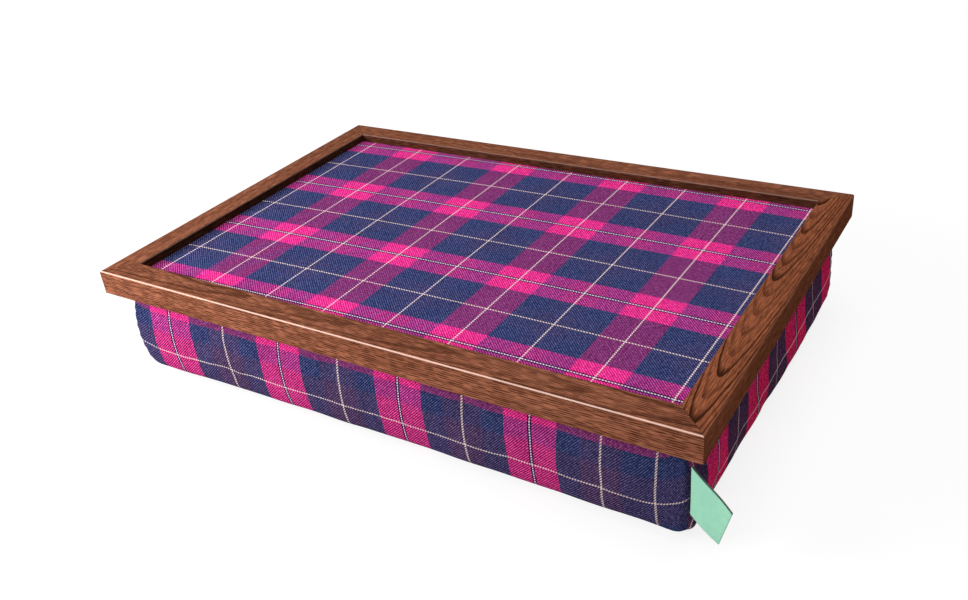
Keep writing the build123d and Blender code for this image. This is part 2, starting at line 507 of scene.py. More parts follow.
@dataclass(frozen=True)
class Walnut(Finish):
    """Walnut-stained hardwood: growth rings cut by the rail, long fibres, open pores and a soft polish, with
    painted highlights along the top arrises and painted light and shade on the faces.

    Its axes are the rail's own: along the grain, inward from the outer face, and up to the top.
    """

    look: RailLook
    layout: Layout
    outer_face: float
    fibre: Grain = Grain(1600, roughness=0.6, drawn=0.05, spread=(0.36, 0.64))
    streak: Grain = Grain(260, drawn=0.03, spread=(0.3, 0.7))
    pore: Grain = Grain(1700, detail=0, drawn=0.09, spread=(0.6, 0.7))
    cloud: Grain = Grain(22)
    fibre_share: float = 0.5
    pore_share: float = 0.4
    cloud_swing: float = 0.3
    dash_pitch: float = 1.45 * MM
    dash_wander: float = 2.4 * MM
    dash_drift: Grain = Grain(90, detail=1, drawn=0.25)
    dash_breaks: Grain = Grain(100, detail=1, spread=(0.38, 0.57))
    dash_row_step: float = 0.37
    dash_start: Span = (0.0, 0.25)
    dash_end: Span = (0.8, 0.5)
    ring_drift: Grain = Grain(85, drawn=0.16)
    ring_waver: Grain = Grain(320, drawn=0.16)
    ring_waver_share: float = 0.15
    ring_seed: float = 7.0
    ring_spread: Span = (0.15, 0.85)
    ring_least: float = 0.5
    late_start: Span = (0.4, 0.85)
    late_end: Span = (1.0, 0.92)
    arris_radius: float = 1.8 * MM
    arris_line: float = 0.6 * MM
    arris_blur: float = 0.35
    arris_reach: float = 1.3
    # Uneven patches of the painted highlight along the arrises.
    highlight_patches: Grain = Grain(60)
    highlight_patch_share: float = 0.5
    highlight_least: float = 0.72
    face_drop: Span = (-0.6, -1.2)
    face_depth: Span = (1.5 * MM, 1 * MM)
    face_calm: float = 0.5
    face_dashes: float = 0.06
    inner_edge: Span = (1.2 * MM, 0.1 * MM)
    glue: Colour = tone(40, 22, 14)
    glue_width: float = 0.35 * MM
    glue_core: float = 0.4
    glue_share: float = 0.6
    fibre_relief: float = 0.6
    late_relief: float = 0.4
    relief: Relief = Relief(0.06 * MM, 0.7)
    polish: float = 0.4
    pore_roughness: float = 0.2
    fibre_roughness: float = 0.14

    def fill(self, paint: Paint) -> None:
        """Builds the wood from its fibres, through its painted shade and light, up to its painted highlights
        and the glue line.
        """
        stain, growth = self.look.stain, GROWTHS[self.look.figure]
        centre = (0.0, self.outer_face, -self.layout.frame_top)
        moved = {"Vector": paint.object_place(), "Location": centre, "Rotation": (0, 0, self.look.turn)}
        place = paint.node("ShaderNodeMapping", {"vector_type": "POINT"}, moved)
        along, inward, up = paint.split(place)
        log_along = along + self.look.log_shift
        outer = self._outer_face(inward, up)
        late = self._late_wood(paint, log_along, inward, up) * (1 - outer * self.face_calm)
        fibre = paint.grain(self.fibre, log_along, inward, up)
        streak = paint.grain(self.streak, log_along, inward, up)
        pores = paint.grain(self.pore, log_along, inward, up)
        cloud = paint.grain(self.cloud, along, inward, up)
        colour = paint.mix(stain.deep, stain.pale, fibre * self.fibre_share + streak * (1 - self.fibre_share))
        dash_strength = outer * self.face_dashes + growth.dash_strength
        colour = paint.mix(colour, stain.late, self._dashes(paint, log_along, inward - up) * dash_strength)
        colour = paint.mix(colour, stain.late, late * growth.late_strength)
        colour = paint.mix(colour, stain.pore, pores * self.pore_share)
        colour = paint.lit(colour, cloud.swung(self.cloud_swing))
        # Painted shade on the face towards the tray.
        colour = paint.lit(colour, 1 - self._inner_face(inward) * self.look.inner_painted_shade)
        # Painted light and shade on the outer face.
        colour = paint.lit(colour, outer * (self.look.outer_face_painted_light - 1) + 1)
        # Painted highlight along the top arrises.
        colour = paint.mix(colour, stain.highlight_colour, self._arris_highlights(paint, along, inward, up))
        colour = paint.mix(colour, self.glue, self._glue_line(paint))
        height = fibre * self.fibre_relief - pores - late * self.late_relief
        paint.surface(
            {
                "Base Color": colour,
                "Roughness": pores * self.pore_roughness + fibre * self.fibre_roughness + self.polish,
                "Specular IOR Level": 0.0,
                "Normal": paint.bump(height, self.relief),
            }
        )

    def _dashes(self, paint: Paint, along: Wire, spread: Wire) -> Wire:
        """Long open vessels, side by side over the top and the faces, each row with its own breaks."""
        wander = (paint.grain(self.dash_drift, along, spread) - 0.5) * self.dash_wander
        rows = (spread + wander) / self.dash_pitch
        breaks = paint.grain(self.dash_breaks, along, rows.floor() * self.dash_row_step)
        across = rows.fraction()
        return breaks * across.rise(*self.dash_start) * across.rise(*self.dash_end)

    def _late_wood(self, paint: Paint, along: Wire, inward: Wire, up: Wire) -> Wire:
        """Dark late wood, where the distance from a slanting pith nears a whole number of rings."""
        growth = GROWTHS[self.look.figure]
        wander = (paint.grain(self.ring_drift, along, inward, up) - 0.5) * growth.wander
        most_waver = growth.wander * self.ring_waver_share
        waver = (paint.grain(self.ring_waver, along, inward, up) - 0.5) * most_waver
        across = inward - growth.pith_across + along * growth.drift
        deep = up - growth.pith_depth
        distance = (across * across + deep * deep).root() + along * growth.taper + (wander + waver)
        rings = distance / growth.ring_pitch
        uneven = paint.speckle(rings.floor(), self.ring_seed).rise(*self.ring_spread).down_to(self.ring_least)
        ring = rings.fraction()
        return ring.rise(*self.late_start) * ring.rise(*self.late_end) * uneven

    def _inner_face(self, inward: Wire) -> Wire:
        """One on the face towards the tray, which takes painted shade above the cloth."""
        return inward.rise(*(self.layout.rail_width - edge for edge in self.inner_edge))

    def _outer_face(self, inward: Wire, up: Wire) -> Wire:
        """One on the face away from the tray, below its arris."""
        below = up.rise(*(share * self.arris_radius for share in self.face_drop))
        return below * inward.rise(*self.face_depth)

    def _arris_highlights(self, paint: Paint, along: Wire, inward: Wire, up: Wire) -> Wire:
        """Painted highlights along the two top arrises, in a line where a rounding faces halfway up, broken
        into uneven patches.
        """
        inner = self.layout.rail_width - inward
        edges = (self.arris_line * (1 + self.arris_blur), self.arris_line * (1 - self.arris_blur))
        lines = []
        for run_in, strength in ((inward, self.look.outer_arris_highlight), (inner, self.look.inner_arris_highlight)):
            near = run_in.rise(self.arris_radius * self.arris_reach, self.arris_radius)
            lines.append(abs(run_in + up).rise(*edges) * near * strength)
        uneven = paint.grain(self.highlight_patches, along, inward) * self.highlight_patch_share + self.highlight_least
        return (lines[0] + lines[1]) * uneven

    def _glue_line(self, paint: Paint) -> Wire:
        """The mitre's dark line, where the ways in from the end and from the side are equal."""
        x, y, _ = paint.split(paint.object_place())
        gap = abs((self.layout.half_length - abs(x)) - (self.layout.half_depth - abs(y)))
        return gap.rise(self.glue_width, self.glue_width * self.glue_core) * self.glue_share


@dataclass(frozen=True)
class Stripes:
    """The stripes across one set of a check's threads.

    A broad band repeats, with a pale line down its middle between two navy ones. Halfway to the next band a
    cream line stands in a softly shaded stripe, whose edges are blurred by a share of its width.
    """

    repeat: float
    first_band: float
    band: float
    band_line: float
    line_edge: float
    ground_line: float
    shade: float
    shade_blur: float = 0.06


@dataclass(frozen=True)
class StripeMasks:
    """Where one set of stripes shows, each a wire of 0 or 1."""

    band: Wire
    band_line: Wire
    line_edge: Wire
    ground_line: Wire
    shade: Wire

    @classmethod
    def across(cls, stripes: Stripes, place: Wire) -> "StripeMasks":
        """Reads the stripes at a place.

        Args:
            stripes: The stripes' sizes.
            place: The thread's place across them.

        Returns:
            The masks.
        """
        half = stripes.repeat / 2
        from_band = abs((place - stripes.first_band + half) % stripes.repeat - half)
        from_ground = half - from_band
        line = from_band < stripes.band_line / 2
        blur = stripes.shade_blur
        return cls(
            band=from_band < stripes.band / 2,
            band_line=line,
            line_edge=(from_band < stripes.band_line / 2 + stripes.line_edge) - line,
            ground_line=from_ground < stripes.ground_line / 2,
            shade=from_ground.rise(stripes.shade * (0.5 + blur), stripes.shade * (0.5 - blur)),
        )


@dataclass(frozen=True)
class Dyes:
    """The check's colours: its grounds, its bands, the crossings of both, and its lines."""

    navy: Colour = tone(40, 54, 102)
    shaded: Colour = tone(78, 52, 90)
    bright_band: Colour = tone(152, 42, 128)
    bright_on_shade: Colour = tone(202, 32, 112)
    dim_band: Colour = tone(126, 44, 108)
    crossing: Colour = tone(234, 44, 138)
    pink_thread: Colour = tone(228, 60, 148)
    navy_thread: Colour = tone(30, 40, 86)
    lint: Colour = tone(206, 192, 222)
    cream: Colour = tone(255, 230, 224)
    white: Colour = tone(255, 236, 255)
    line_navy: Colour = tone(20, 24, 66)


def thread_hump(first: Wire, second: Wire, first_up: Wire) -> Wire:
    """Half a sine across whichever thread is on top, where places are counted in threads."""
    under = second.hump()
    return under + first_up * (first.hump() - under)


@dataclass(frozen=True)
class CheckCloth(Finish):
    """A two-up, two-down twill in a pink and navy check.

    The first of the cloth's coordinates sets the bright bands, and the second the dim ones. Each thread has
    one colour, so that a band's edge steps from thread to thread. Its grains are measured in threads.
    """

    bright: Stripes
    dim: Stripes
    shading: float
    # How deep the dye is, which on the pieced corner also holds painted shade.
    dye_and_shade_depth: float
    dyes: Dyes = Dyes()
    thread: float = 0.47 * MM
    twill: int = 4
    weave_show: float = 0.4
    # How much lighter the floats on top are painted than those under them: painted light and shade of the
    # twill.
    float_shading: float = 1.0
    slub_depth: float = 0.6
    slub: Grain = Grain(0.31, detail=1, spread=(0.3, 0.7))
    slub_share: float = 0.5
    slub_swing: float = 0.7
    lint_share: float = 0.1
    least_light: float = 0.25
    drift: Grain = Grain(0.016)
    drift_swing: float = 0.3
    edge_least: float = 0.65
    line_shadow: float = 0.3
    line_over: float = 0.86
    level_under: float = 0.12
    upright_under: float = 0.1
    round_relief: float = 0.5
    twill_relief: float = 0.5
    slub_relief: float = 0.4
    relief: Relief = Relief(0.16 * MM, 0.6)
    roughness: float = 0.9

    def fill(self, paint: Paint) -> None:
        """Builds the cloth on its own coordinates."""
        first, second = (place / self.thread for place in paint.cloth_place())
        first_count, second_count = first.floor(), second.floor()
        diagonal = first_count + second_count
        first_up = (diagonal % self.twill) < self.twill / 2 - 0.5
        bright = StripeMasks.across(self.bright, (first_count + 0.5) * self.thread)
        dim = StripeMasks.across(self.dim, (second_count + 0.5) * self.thread)
        slub = self._slub(paint, first_count, second_count, (diagonal / self.twill).floor(), first_up)
        colour = self._ground(paint, bright, dim, first_up)
        colour = paint.mix(colour, self.dyes.lint, first_up * slub * self.lint_share)
        # Floats on top painted lighter and those under them darker: painted light and shade of the twill,
        # with each float's own tone.
        float_light = first_up * slub.swung(self.slub_swing) * self.float_shading + slub * self.slub_depth
        light = float_light + (1 - self.float_shading / 2 - self.slub_depth / 2)
        colour = paint.lit(colour, light.at_least(self.least_light))
        colour = self._lines(paint, colour, bright, dim, first_up)
        drift = paint.grain(self.drift, first, second)
        # Slow drift of the dye; on the pieced corner the lower depth is painted shade.
        colour = paint.lit(colour, drift.swung(self.drift_swing) * self.dye_and_shade_depth)
        height = thread_hump(first, second, first_up) * self.round_relief + first_up * self.twill_relief
        paint.surface(
            {
                "Base Color": colour,
                "Roughness": self.roughness,
                "Specular IOR Level": 0.0,
                "Normal": paint.bump(height + slub * self.slub_relief, self.relief),
            }
        )

    def _slub(self, paint: Paint, first: Wire, second: Wire, float_count: Wire, first_up: Wire) -> Wire:
        """How thick and bright each float of yarn is, with slow changes over a few threads."""
        lengthwise = paint.speckle(first, float_count)
        crosswise = paint.speckle(float_count, second + 0.5)
        own = crosswise + first_up * (lengthwise - crosswise)
        return own * (1 - self.slub_share) + paint.grain(self.slub, first, second) * self.slub_share

    def _ground(self, paint: Paint, bright: StripeMasks, dim: StripeMasks, first_up: Wire) -> Wire:
        """Bands over the navy ground, with something of each thread's own colour showing through."""
        dyes = self.dyes
        colour = paint.mix(dyes.navy, dyes.shaded, (bright.shade + dim.shade) * (self.shading / 2))
        over = paint.mix(dyes.bright_band, dyes.bright_on_shade, dim.shade * self.shading)
        colour = paint.mix(colour, over, bright.band)
        colour = paint.mix(colour, dyes.dim_band, dim.band)
        colour = paint.mix(colour, dyes.crossing, bright.band * dim.band)
        pink_up = dim.band + first_up * (bright.band - dim.band)
        woven = paint.mix(dyes.navy_thread, dyes.pink_thread, pink_up)
        one_band = bright.band + dim.band - bright.band * dim.band * 2
        return paint.mix(colour, woven, one_band * self.weave_show)

    def _lines(
        self, paint: Paint, colour: Wire, bright: StripeMasks, dim: StripeMasks, first_up: Wire
    ) -> Wire:
        """Fine lines, whose threads lie on top in every other pair, so that they look like cord."""
        dyes = self.dyes
        colour = paint.mix(colour, dyes.line_navy, bright.line_edge * first_up.down_to(self.edge_least))
        level = dim.band_line + dim.ground_line
        colour = paint.lit(colour, 1 - (bright.band_line + bright.ground_line + level) * self.line_shadow)
        level_shows = (1 - first_up) * self.line_over + self.level_under
        upright_shows = first_up * self.line_over + self.upright_under
        colour = paint.mix(colour, dyes.cream, level * level_shows)
        colour = paint.mix(colour, dyes.white, bright.band_line * upright_shows)
        return paint.mix(colour, dyes.cream, bright.ground_line * upright_shows)


@dataclass(frozen=True)
class Calico(Finish):
    """Plain undyed cotton with small seed flecks. Its grain is measured in threads."""

    name: str = "calico"
    thread: float = 0.45 * MM
    cotton: Colour = tone(226, 216, 194)
    fleck: Colour = tone(150, 122, 88)
    seeds: Grain = Grain(0.35, detail=3, spread=(0.68, 0.74))
    seed_share: float = 0.7
    weave_light: float = 0.2
    weave_least: float = 0.82
    relief: Relief = Relief(0.1 * MM, 0.5)
    roughness: float = 0.9
    sheen: float = 0.1

    def fill(self, paint: Paint) -> None:
        """Builds a plain weave on the cloth's own coordinates."""
        first, second = (place / self.thread for place in paint.cloth_place())
        weave = thread_hump(first, second, (first.floor() + second.floor()) % 2)
        seeds = paint.grain(self.seeds, first, second) * self.seed_share
        colour = paint.mix(self.cotton, self.fleck, seeds)
        paint.surface(
            {
                # Painted light on the thread crowns and painted shade between the threads.
                "Base Color": paint.lit(colour, weave * self.weave_light + self.weave_least),
                "Roughness": self.roughness,
                "Sheen Weight": self.sheen,
                "Normal": paint.bump(weave, self.relief),
            }
        )


@dataclass(frozen=True)
class Beads(Finish):
    """Expanded polystyrene beads, packed edge to edge."""

    name: str = "beads"
    bead: float = 3.2 * MM
    unevenness: float = 0.8
    roundness: Span = (0.75, 0.1)
    white: Colour = tone(240, 241, 243)
    gap: Colour = tone(170, 172, 178)
    relief: Relief = Relief(1.2 * MM, 0.9)
    roughness: float = 0.6

    def fill(self, paint: Paint) -> None:
        """Builds round cells in space, paler at their middles by painted light and darker in the gaps between
        them by painted shade.
        """
        inputs = {"Vector": paint.object_place(), "Scale": 1 / self.bead, "Randomness": self.unevenness}
        ball = paint.node("ShaderNodeTexVoronoi", inputs=inputs, output="Distance").rise(*self.roundness)
        paint.surface(
            {
                # Painted light at each bead's middle and painted shade in the gaps.
                "Base Color": paint.mix(self.gap, self.white, ball),
                "Roughness": self.roughness,
                "Normal": paint.bump(ball, self.relief),
            }
        )


@dataclass(frozen=True)
class Tape(Finish):
    """Woven ribbon with a fine rib across its width, and a painted shadow along its upper edge."""

    name: str = "mint_tape"
    rib: float = 0.5 * MM
    thread: float = 0.3 * MM
    mint: Colour = tone(160, 226, 194)
    deep: Colour = tone(128, 198, 166)
    fuzz: Grain = Grain(240, detail=3)
    rib_share: float = 0.5
    thread_share: float = 0.2
    fuzz_share: float = 0.5
    contrast: Span = (0.1, 0.9)
    # A painted shadow along the upper edge.
    edge_shadow: Colour = tone(40, 66, 58)
    edge_shadow_span: Span = (0.8 * MM, 0.48 * MM)
    edge_shadow_share: float = 0.85
    thread_relief: float = 0.4
    relief: Relief = Relief(0.08 * MM, 0.5)
    roughness: float = 0.55
    sheen: float = 0.15

    def fill(self, paint: Paint) -> None:
        """Builds the ribs and the painted shadow along the upper edge on the tape's own coordinates."""
        along, across = paint.cloth_place()
        rib = (along / self.rib).hump()
        thread = (across / self.thread).hump()
        woven = rib * self.rib_share + thread * self.thread_share
        woven = woven + paint.grain(self.fuzz, along, across) * self.fuzz_share
        colour = paint.mix(self.deep, self.mint, woven.rise(*self.contrast))
        # Painted shadow along the upper edge.
        edge = across.rise(*self.edge_shadow_span) * self.edge_shadow_share
        paint.surface(
            {
                "Base Color": paint.mix(colour, self.edge_shadow, edge),
                "Roughness": self.roughness,
                "Sheen Weight": self.sheen,
                "Normal": paint.bump(rib + thread * self.thread_relief, self.relief),
            }
        )


@dataclass(frozen=True)
class Hardboard(Finish):
    """Pressed brown fibreboard, smooth with darker flecks."""

    name: str = "hardboard"
    brown: Colour = tone(134, 96, 62)
    dark: Colour = tone(88, 58, 36)
    fibre: Grain = Grain(900, detail=6, roughness=0.7)
    cloud: Grain = Grain(40, detail=3)
    fibre_share: float = 0.8
    cloud_share: float = 0.4
    contrast: Span = (0.4, 0.85)
    relief: Relief = Relief(0.05 * MM)
    roughness: float = 0.5
    fibre_roughness: float = 0.2

    def fill(self, paint: Paint) -> None:
        """Builds the pressed fibres."""
        x, y, z = paint.split(paint.object_place())
        fibres = paint.grain(self.fibre, x, y, z)
        flecks = fibres * self.fibre_share + paint.grain(self.cloud, x, y, z) * self.cloud_share
        paint.surface(
            {
                "Base Color": paint.mix(self.brown, self.dark, flecks.rise(*self.contrast)),
                "Roughness": fibres * self.fibre_roughness + self.roughness,
                "Normal": paint.bump(fibres, self.relief),
            }
        )


@dataclass(frozen=True)
class Steel(Finish):
    """Bright drawn steel with fine scratches."""

    name: str = "bright_steel"
    bright: Colour = tone(200, 200, 202)
    dull: Colour = tone(150, 150, 155)
    scratch: Grain = Grain(700, detail=4, roughness=0.6)
    scratch_press: float = 12.0
    roughness: float = 0.22
    scratch_roughness: float = 0.25

    def fill(self, paint: Paint) -> None:
        """Builds the scratches, which are pressed together upwards."""
        x, y, z = paint.split(paint.object_place())
        scratch = paint.grain(self.scratch, x, y, z * self.scratch_press)
        paint.surface(
            {
                "Base Color": paint.mix(self.dull, self.bright, scratch),
                "Roughness": scratch * self.scratch_roughness + self.roughness,
                "Metallic": 1.0,
            }
        )


class Surface:
    """Makes mesh objects from arrays of points."""

    @staticmethod
    def quads(index: np.ndarray) -> np.ndarray:
        """Joins a grid of vertex numbers into quads.

        Args:
            index: Vertex numbers, rows by columns.

        Returns:
            Four numbers a quad: a corner, the one below it, the one across from it and the one beside it.
        """
        return np.stack([index[:-1, :-1], index[1:, :-1], index[1:, 1:], index[:-1, 1:]], -1).reshape(-1, 4)

    @staticmethod
    def build(
        name: str,
        points: np.ndarray,
        faces: np.ndarray,
        cloth: np.ndarray | None = None,
        finish: np.ndarray | None = None,
    ) -> bpy.types.Object:
        """Makes a smooth mesh object.

        Args:
            name: The piece's name.
            points: Its vertices.
            faces: Four vertex numbers a face.
            cloth: The cloth's coordinates at each face's four corners.
            finish: The number of each face's material.

        Returns:
            The object, at the origin.
        """
        mesh = bpy.data.meshes.new(name)
        mesh.from_pydata(points.reshape(-1, 3).tolist(), [], faces.tolist())
        if cloth is not None:
            layer = mesh.uv_layers.new(name=CLOTH_MAP)
            layer.data.foreach_set("uv", cloth.astype(np.float32).ravel())
        if finish is not None:
            mesh.polygons.foreach_set("material_index", finish.astype(np.int32))
        mesh.polygons.foreach_set("use_smooth", np.ones(len(mesh.polygons), bool))
        mesh.update()
        made = bpy.data.objects.new(name, mesh)
        bpy.context.scene.collection.objects.link(made)
        return made

    @staticmethod
    def thicken(piece: bpy.types.Object, thickness: float) -> None:
        """Gives a cloth its thickness, inwards from the face that shows."""
        wall = piece.modifiers.new("cloth_thickness", "SOLIDIFY")
        wall.thickness = thickness
        wall.offset = -1.0
        wall.use_rim = True

    @staticmethod
    def coons(front: np.ndarray, right: np.ndarray, back: np.ndarray, left: np.ndarray) -> np.ndarray:
        """Fills four boundary curves: the ruled surfaces between facing curves, less the corners' own one.

        Args:
            front: Points from left to right.
            right: Points from front to back.
            back: Points from left to right.
            left: Points from front to back.

        Returns:
            Points by place from front to back, then from left to right.
        """
        s = np.linspace(0, 1, len(front))[None, :, None]
        t = np.linspace(0, 1, len(left))[:, None, None]
        ruled_lengthwise = (1 - t) * front[None] + t * back[None]
        ruled_across = (1 - s) * left[:, None] + s * right[:, None]
        corners = (1 - t) * ((1 - s) * front[0] + s * front[-1]) + t * ((1 - s) * back[0] + s * back[-1])
        return ruled_lengthwise + ruled_across - corners


@dataclass(frozen=True)
class BagSizes:
    """The cushion's shape, which its cloth, its lining and its beads share."""

    rail_foot: float = 13 * MM
    side_swell: float = 5.3 * MM
    side_draw: float = 2 * MM
    edge_run: float = 20 * MM
    edge_rise: float = 13 * MM
    base_flat: float = 0.5 * MM
    top_corner: float = 3 * MM
    corner: float = 8 * MM
    corner_spread: float = 0.3


@dataclass(frozen=True)
class BagGrid:
    """How finely a bag is divided: along a long and a short side, in half a corner, and down its rows."""

    long_steps: int
    short_steps: int
    corner_steps: int
    neck_rows: int
    side_rows: int
    edge_rows: int


@dataclass
class BagForm:
    """One skin of the cushion as four side strips, each from corner seam to corner seam.

    Down a strip the rows run from the neck in the frame, over the drawn-in side and round the base's turned
    edge. Along it the columns take half of a corner, the side and half of the next corner. Crowding is the
    power that gathers a corner's columns at its seam.
    """

    layout: Layout
    grid: BagGrid
    skin: float
    neck_inset: float
    top: float
    sizes: BagSizes = BagSizes()
    crowding: float = 1.6

    def stations(self) -> tuple[np.ndarray, np.ndarray]:
        """Height and added inset of each row, where the base edge is a part of an ellipse.

        Returns:
            Heights on the outer face from the top down, and insets.
        """
        sizes, grid, foot = self.sizes, self.grid, self.layout.frame_foot
        start = math.acos(1 - sizes.base_flat / sizes.edge_rise)
        angle = np.linspace(math.pi / 2, start, grid.edge_rows + 1)
        edge = sizes.edge_rise * (1 - np.cos(angle)) - sizes.base_flat
        turn = sizes.edge_run * (1 - np.sin(angle))
        neck = np.linspace(self.top, foot, grid.neck_rows + 1)[:-1]
        side = np.linspace(foot, edge[0], grid.side_rows + 1)[:-1]
        rows = np.concatenate([neck, side, edge])
        return rows, np.concatenate([np.zeros(grid.neck_rows + grid.side_rows), turn])

    def columns(self, steps: int) -> tuple[np.ndarray, np.ndarray]:
        """Place along the straight of a side, from -1 to 1, and angle round the corners.

        Args:
            steps: The steps along the straight.

        Returns:
            The places and the angles, where an angle is negative before the side and positive after it.
        """
        share = np.linspace(0, 1, self.grid.corner_steps + 1) ** self.crowding
        arc = share * math.pi / 4
        straight = np.linspace(-1, 1, steps + 1)
        place = np.concatenate([-np.ones(len(arc) - 1), straight, np.ones(len(arc) - 1)])
        angle = np.concatenate([arc[:-1] - math.pi / 4, np.zeros(steps + 1), (math.pi / 4 - arc[:-1])[::-1]])
        return place, angle

    def sides(self) -> Sides:
        """Works out the four strips.

        Up the side the swell is a parabola, full at half height, and along it the draw is another.

        Returns:
            Points of the front, right, back and left strips, rows by columns.
        """
        sizes, foot = self.sizes, self.layout.frame_foot
        height, turn = self.stations()
        share = np.clip(height / foot, 0, 1)
        tuck = (self.neck_inset - sizes.rail_foot - self.skin) * share**4
        swell = sizes.side_swell * 4 * share * (1 - share)
        inset = sizes.rail_foot - swell + turn + self.skin + tuck
        radius = sizes.top_corner + (sizes.corner - sizes.top_corner) * (1 - share**3)
        radius = (radius + turn * sizes.corner_spread)[:, None]
        draw = (sizes.side_draw * (1 - share**2))[:, None]
        level = np.where(height < foot, self.skin + height * (foot - self.skin) / foot, height)
        strips = []
        for quarter in range(4):
            half, out = self.layout.halves(quarter)
            place, angle = self.columns(self.grid.short_steps if quarter % 2 else self.grid.long_steps)
            along = place * (half - inset[:, None] - radius) + radius * np.sin(angle)
            across = inset[:, None] - out + radius * (1 - np.cos(angle)) + draw * (1 - place**2)
            strip = np.stack([along, across, np.broadcast_to(level[:, None], along.shape)], -1)
            strips.append(turned(strip, quarter))
        return strips


def turned(points: np.ndarray, quarters: int) -> np.ndarray:
    """Turns points or directions about the upright axis by quarter turns, anticlockwise seen from above.

    Args:
        points: Any array whose last axis is x, y and z.
        quarters: How many quarter turns, also negative.

    Returns:
        The turned array.
    """
    cosine = (1, 0, -1, 0)[quarters % 4]
    sine = (0, 1, 0, -1)[quarters % 4]
    x, y, z = points[..., 0], points[..., 1], points[..., 2]
    return np.stack([cosine * x - sine * y, sine * x + cosine * y, z], -1)


class BagFinish(IntEnum):
    """The number of each of the cover's materials. The base has that of the long sides."""

    LONG_SIDE = 0
    END = 1
    PIECED_CORNER = 2


class Bag:
    """Turns four side strips into one closed or open-topped mesh."""

    def __init__(self, strips: Sides) -> None:
        """Numbers the strips' vertices, where a strip's last column is the next one's first."""
        self.strips = strips
        self.rows = strips[0].shape[0]
        steps = [strip.shape[1] - 1 for strip in strips]
        self.starts = np.concatenate([[0], np.cumsum(steps)])
        self.ring = int(self.starts[-1])

    def index(self, quarter: int) -> np.ndarray:
        """Vertex numbers of a strip, rows by columns."""
        columns = (np.arange(self.strips[quarter].shape[1]) + self.starts[quarter]) % self.ring
        return np.arange(self.rows)[:, None] * self.ring + columns[None]

    def cap(self, row: int) -> tuple[np.ndarray, np.ndarray]:
        """Fills the ring of one row, such as the base.

        Args:
            row: The row's number.

        Returns:
            Points of the cap's inside, and vertex numbers of the whole cap from front to back and left to
            right, where the inside counts down from -1.
        """
        ends = [strip[row] for strip in self.strips]
        filled = Surface.coons(ends[0], ends[1], ends[2][::-1], ends[3][::-1])
        numbers = [self.index(quarter)[row] for quarter in range(4)]
        deep, wide = filled.shape[:2]
        index = np.empty((deep, wide), int)
        index[1:-1, 1:-1] = -1 - np.arange((deep - 2) * (wide - 2)).reshape(deep - 2, wide - 2)
        index[0], index[-1] = numbers[0], numbers[2][::-1]
        index[:, -1], index[:, 0] = numbers[1], numbers[3][::-1]
        return filled[1:-1, 1:-1].reshape(-1, 3), index

    def mesh(self, name: str, cloth: list[np.ndarray], lid: bool) -> bpy.types.Object:
        """Builds the bag.

        Args:
            name: The piece's name.
            cloth: The cloth's coordinates on each strip.
            lid: Whether the neck is closed.

        Returns:
            The object, whose faces have the material numbers of BagFinish.
        """
        wall = np.concatenate([strip[:, :-1] for strip in self.strips], axis=1).reshape(-1, 3)
        points, faces, maps, finish = [wall], [], [], []
        for quarter, strip_map in enumerate(cloth):
            quads = Surface.quads(self.index(quarter))
            local = np.arange(strip_map[..., 0].size).reshape(strip_map.shape[:2])
            at_corners = strip_map.reshape(-1, 2)[Surface.quads(local)]
            faces.append(quads)
            maps.append(pieced(at_corners, quarter))
            finish.append(finish_numbers(at_corners, quarter))
        for row, upward in ((-1, False), (0, True)):
            if upward and not lid:
                continue
            inside, index = self.cap(row)
            index = np.where(index < 0, sum(map(len, points)) - 1 - index, index)
            points.append(inside)
            quads = Surface.quads(index)[:, ::-1] if upward else Surface.quads(index)
            flat = np.concatenate(points)
            faces.append(quads)
            maps.append(self._cap_map(flat[quads], cloth[0], row))
            finish.append(np.full(len(quads), BagFinish.LONG_SIDE))
        parts = (np.concatenate(part) for part in (points, faces, maps, finish))
        return Surface.build(name, *parts)

    def _cap_map(self, corners: np.ndarray, front_map: np.ndarray, row: int) -> np.ndarray:
        """The cloth's coordinates on a cap, which carries on from the front strip."""
        edge_y = self.strips[0][row, :, 1].mean()
        run = corners[..., 1] - edge_y
        return np.stack([corners[..., 0], run + front_map[row, :, 1].mean()], -1)


def pieced(corners: np.ndarray, quarter: int) -> np.ndarray:
    """Moves the cloth's first coordinate back beyond a pieced join, a whole face at a time.

    Args:
        corners: The coordinates at each face's corners.
        quarter: The side's number.

    Returns:
        The coordinates of the pieced cloth.
    """
    panel = PANELS[quarter % 2]
    beyond = corners[..., 0].mean(1, keepdims=True) > panel.join_at
    step = np.stack([beyond * panel.join_step, np.zeros(beyond.shape)], -1)
    return corners - step


def finish_numbers(corners: np.ndarray, quarter: int) -> np.ndarray:
    """The material's number of each face of a side, from the cloth's coordinates at its corners."""
    if quarter % 2:
        return np.full(len(corners), BagFinish.END)
    beyond = corners[..., 0].mean(1) > PANELS[0].join_at
    return np.where(beyond, BagFinish.PIECED_CORNER, BagFinish.LONG_SIDE)


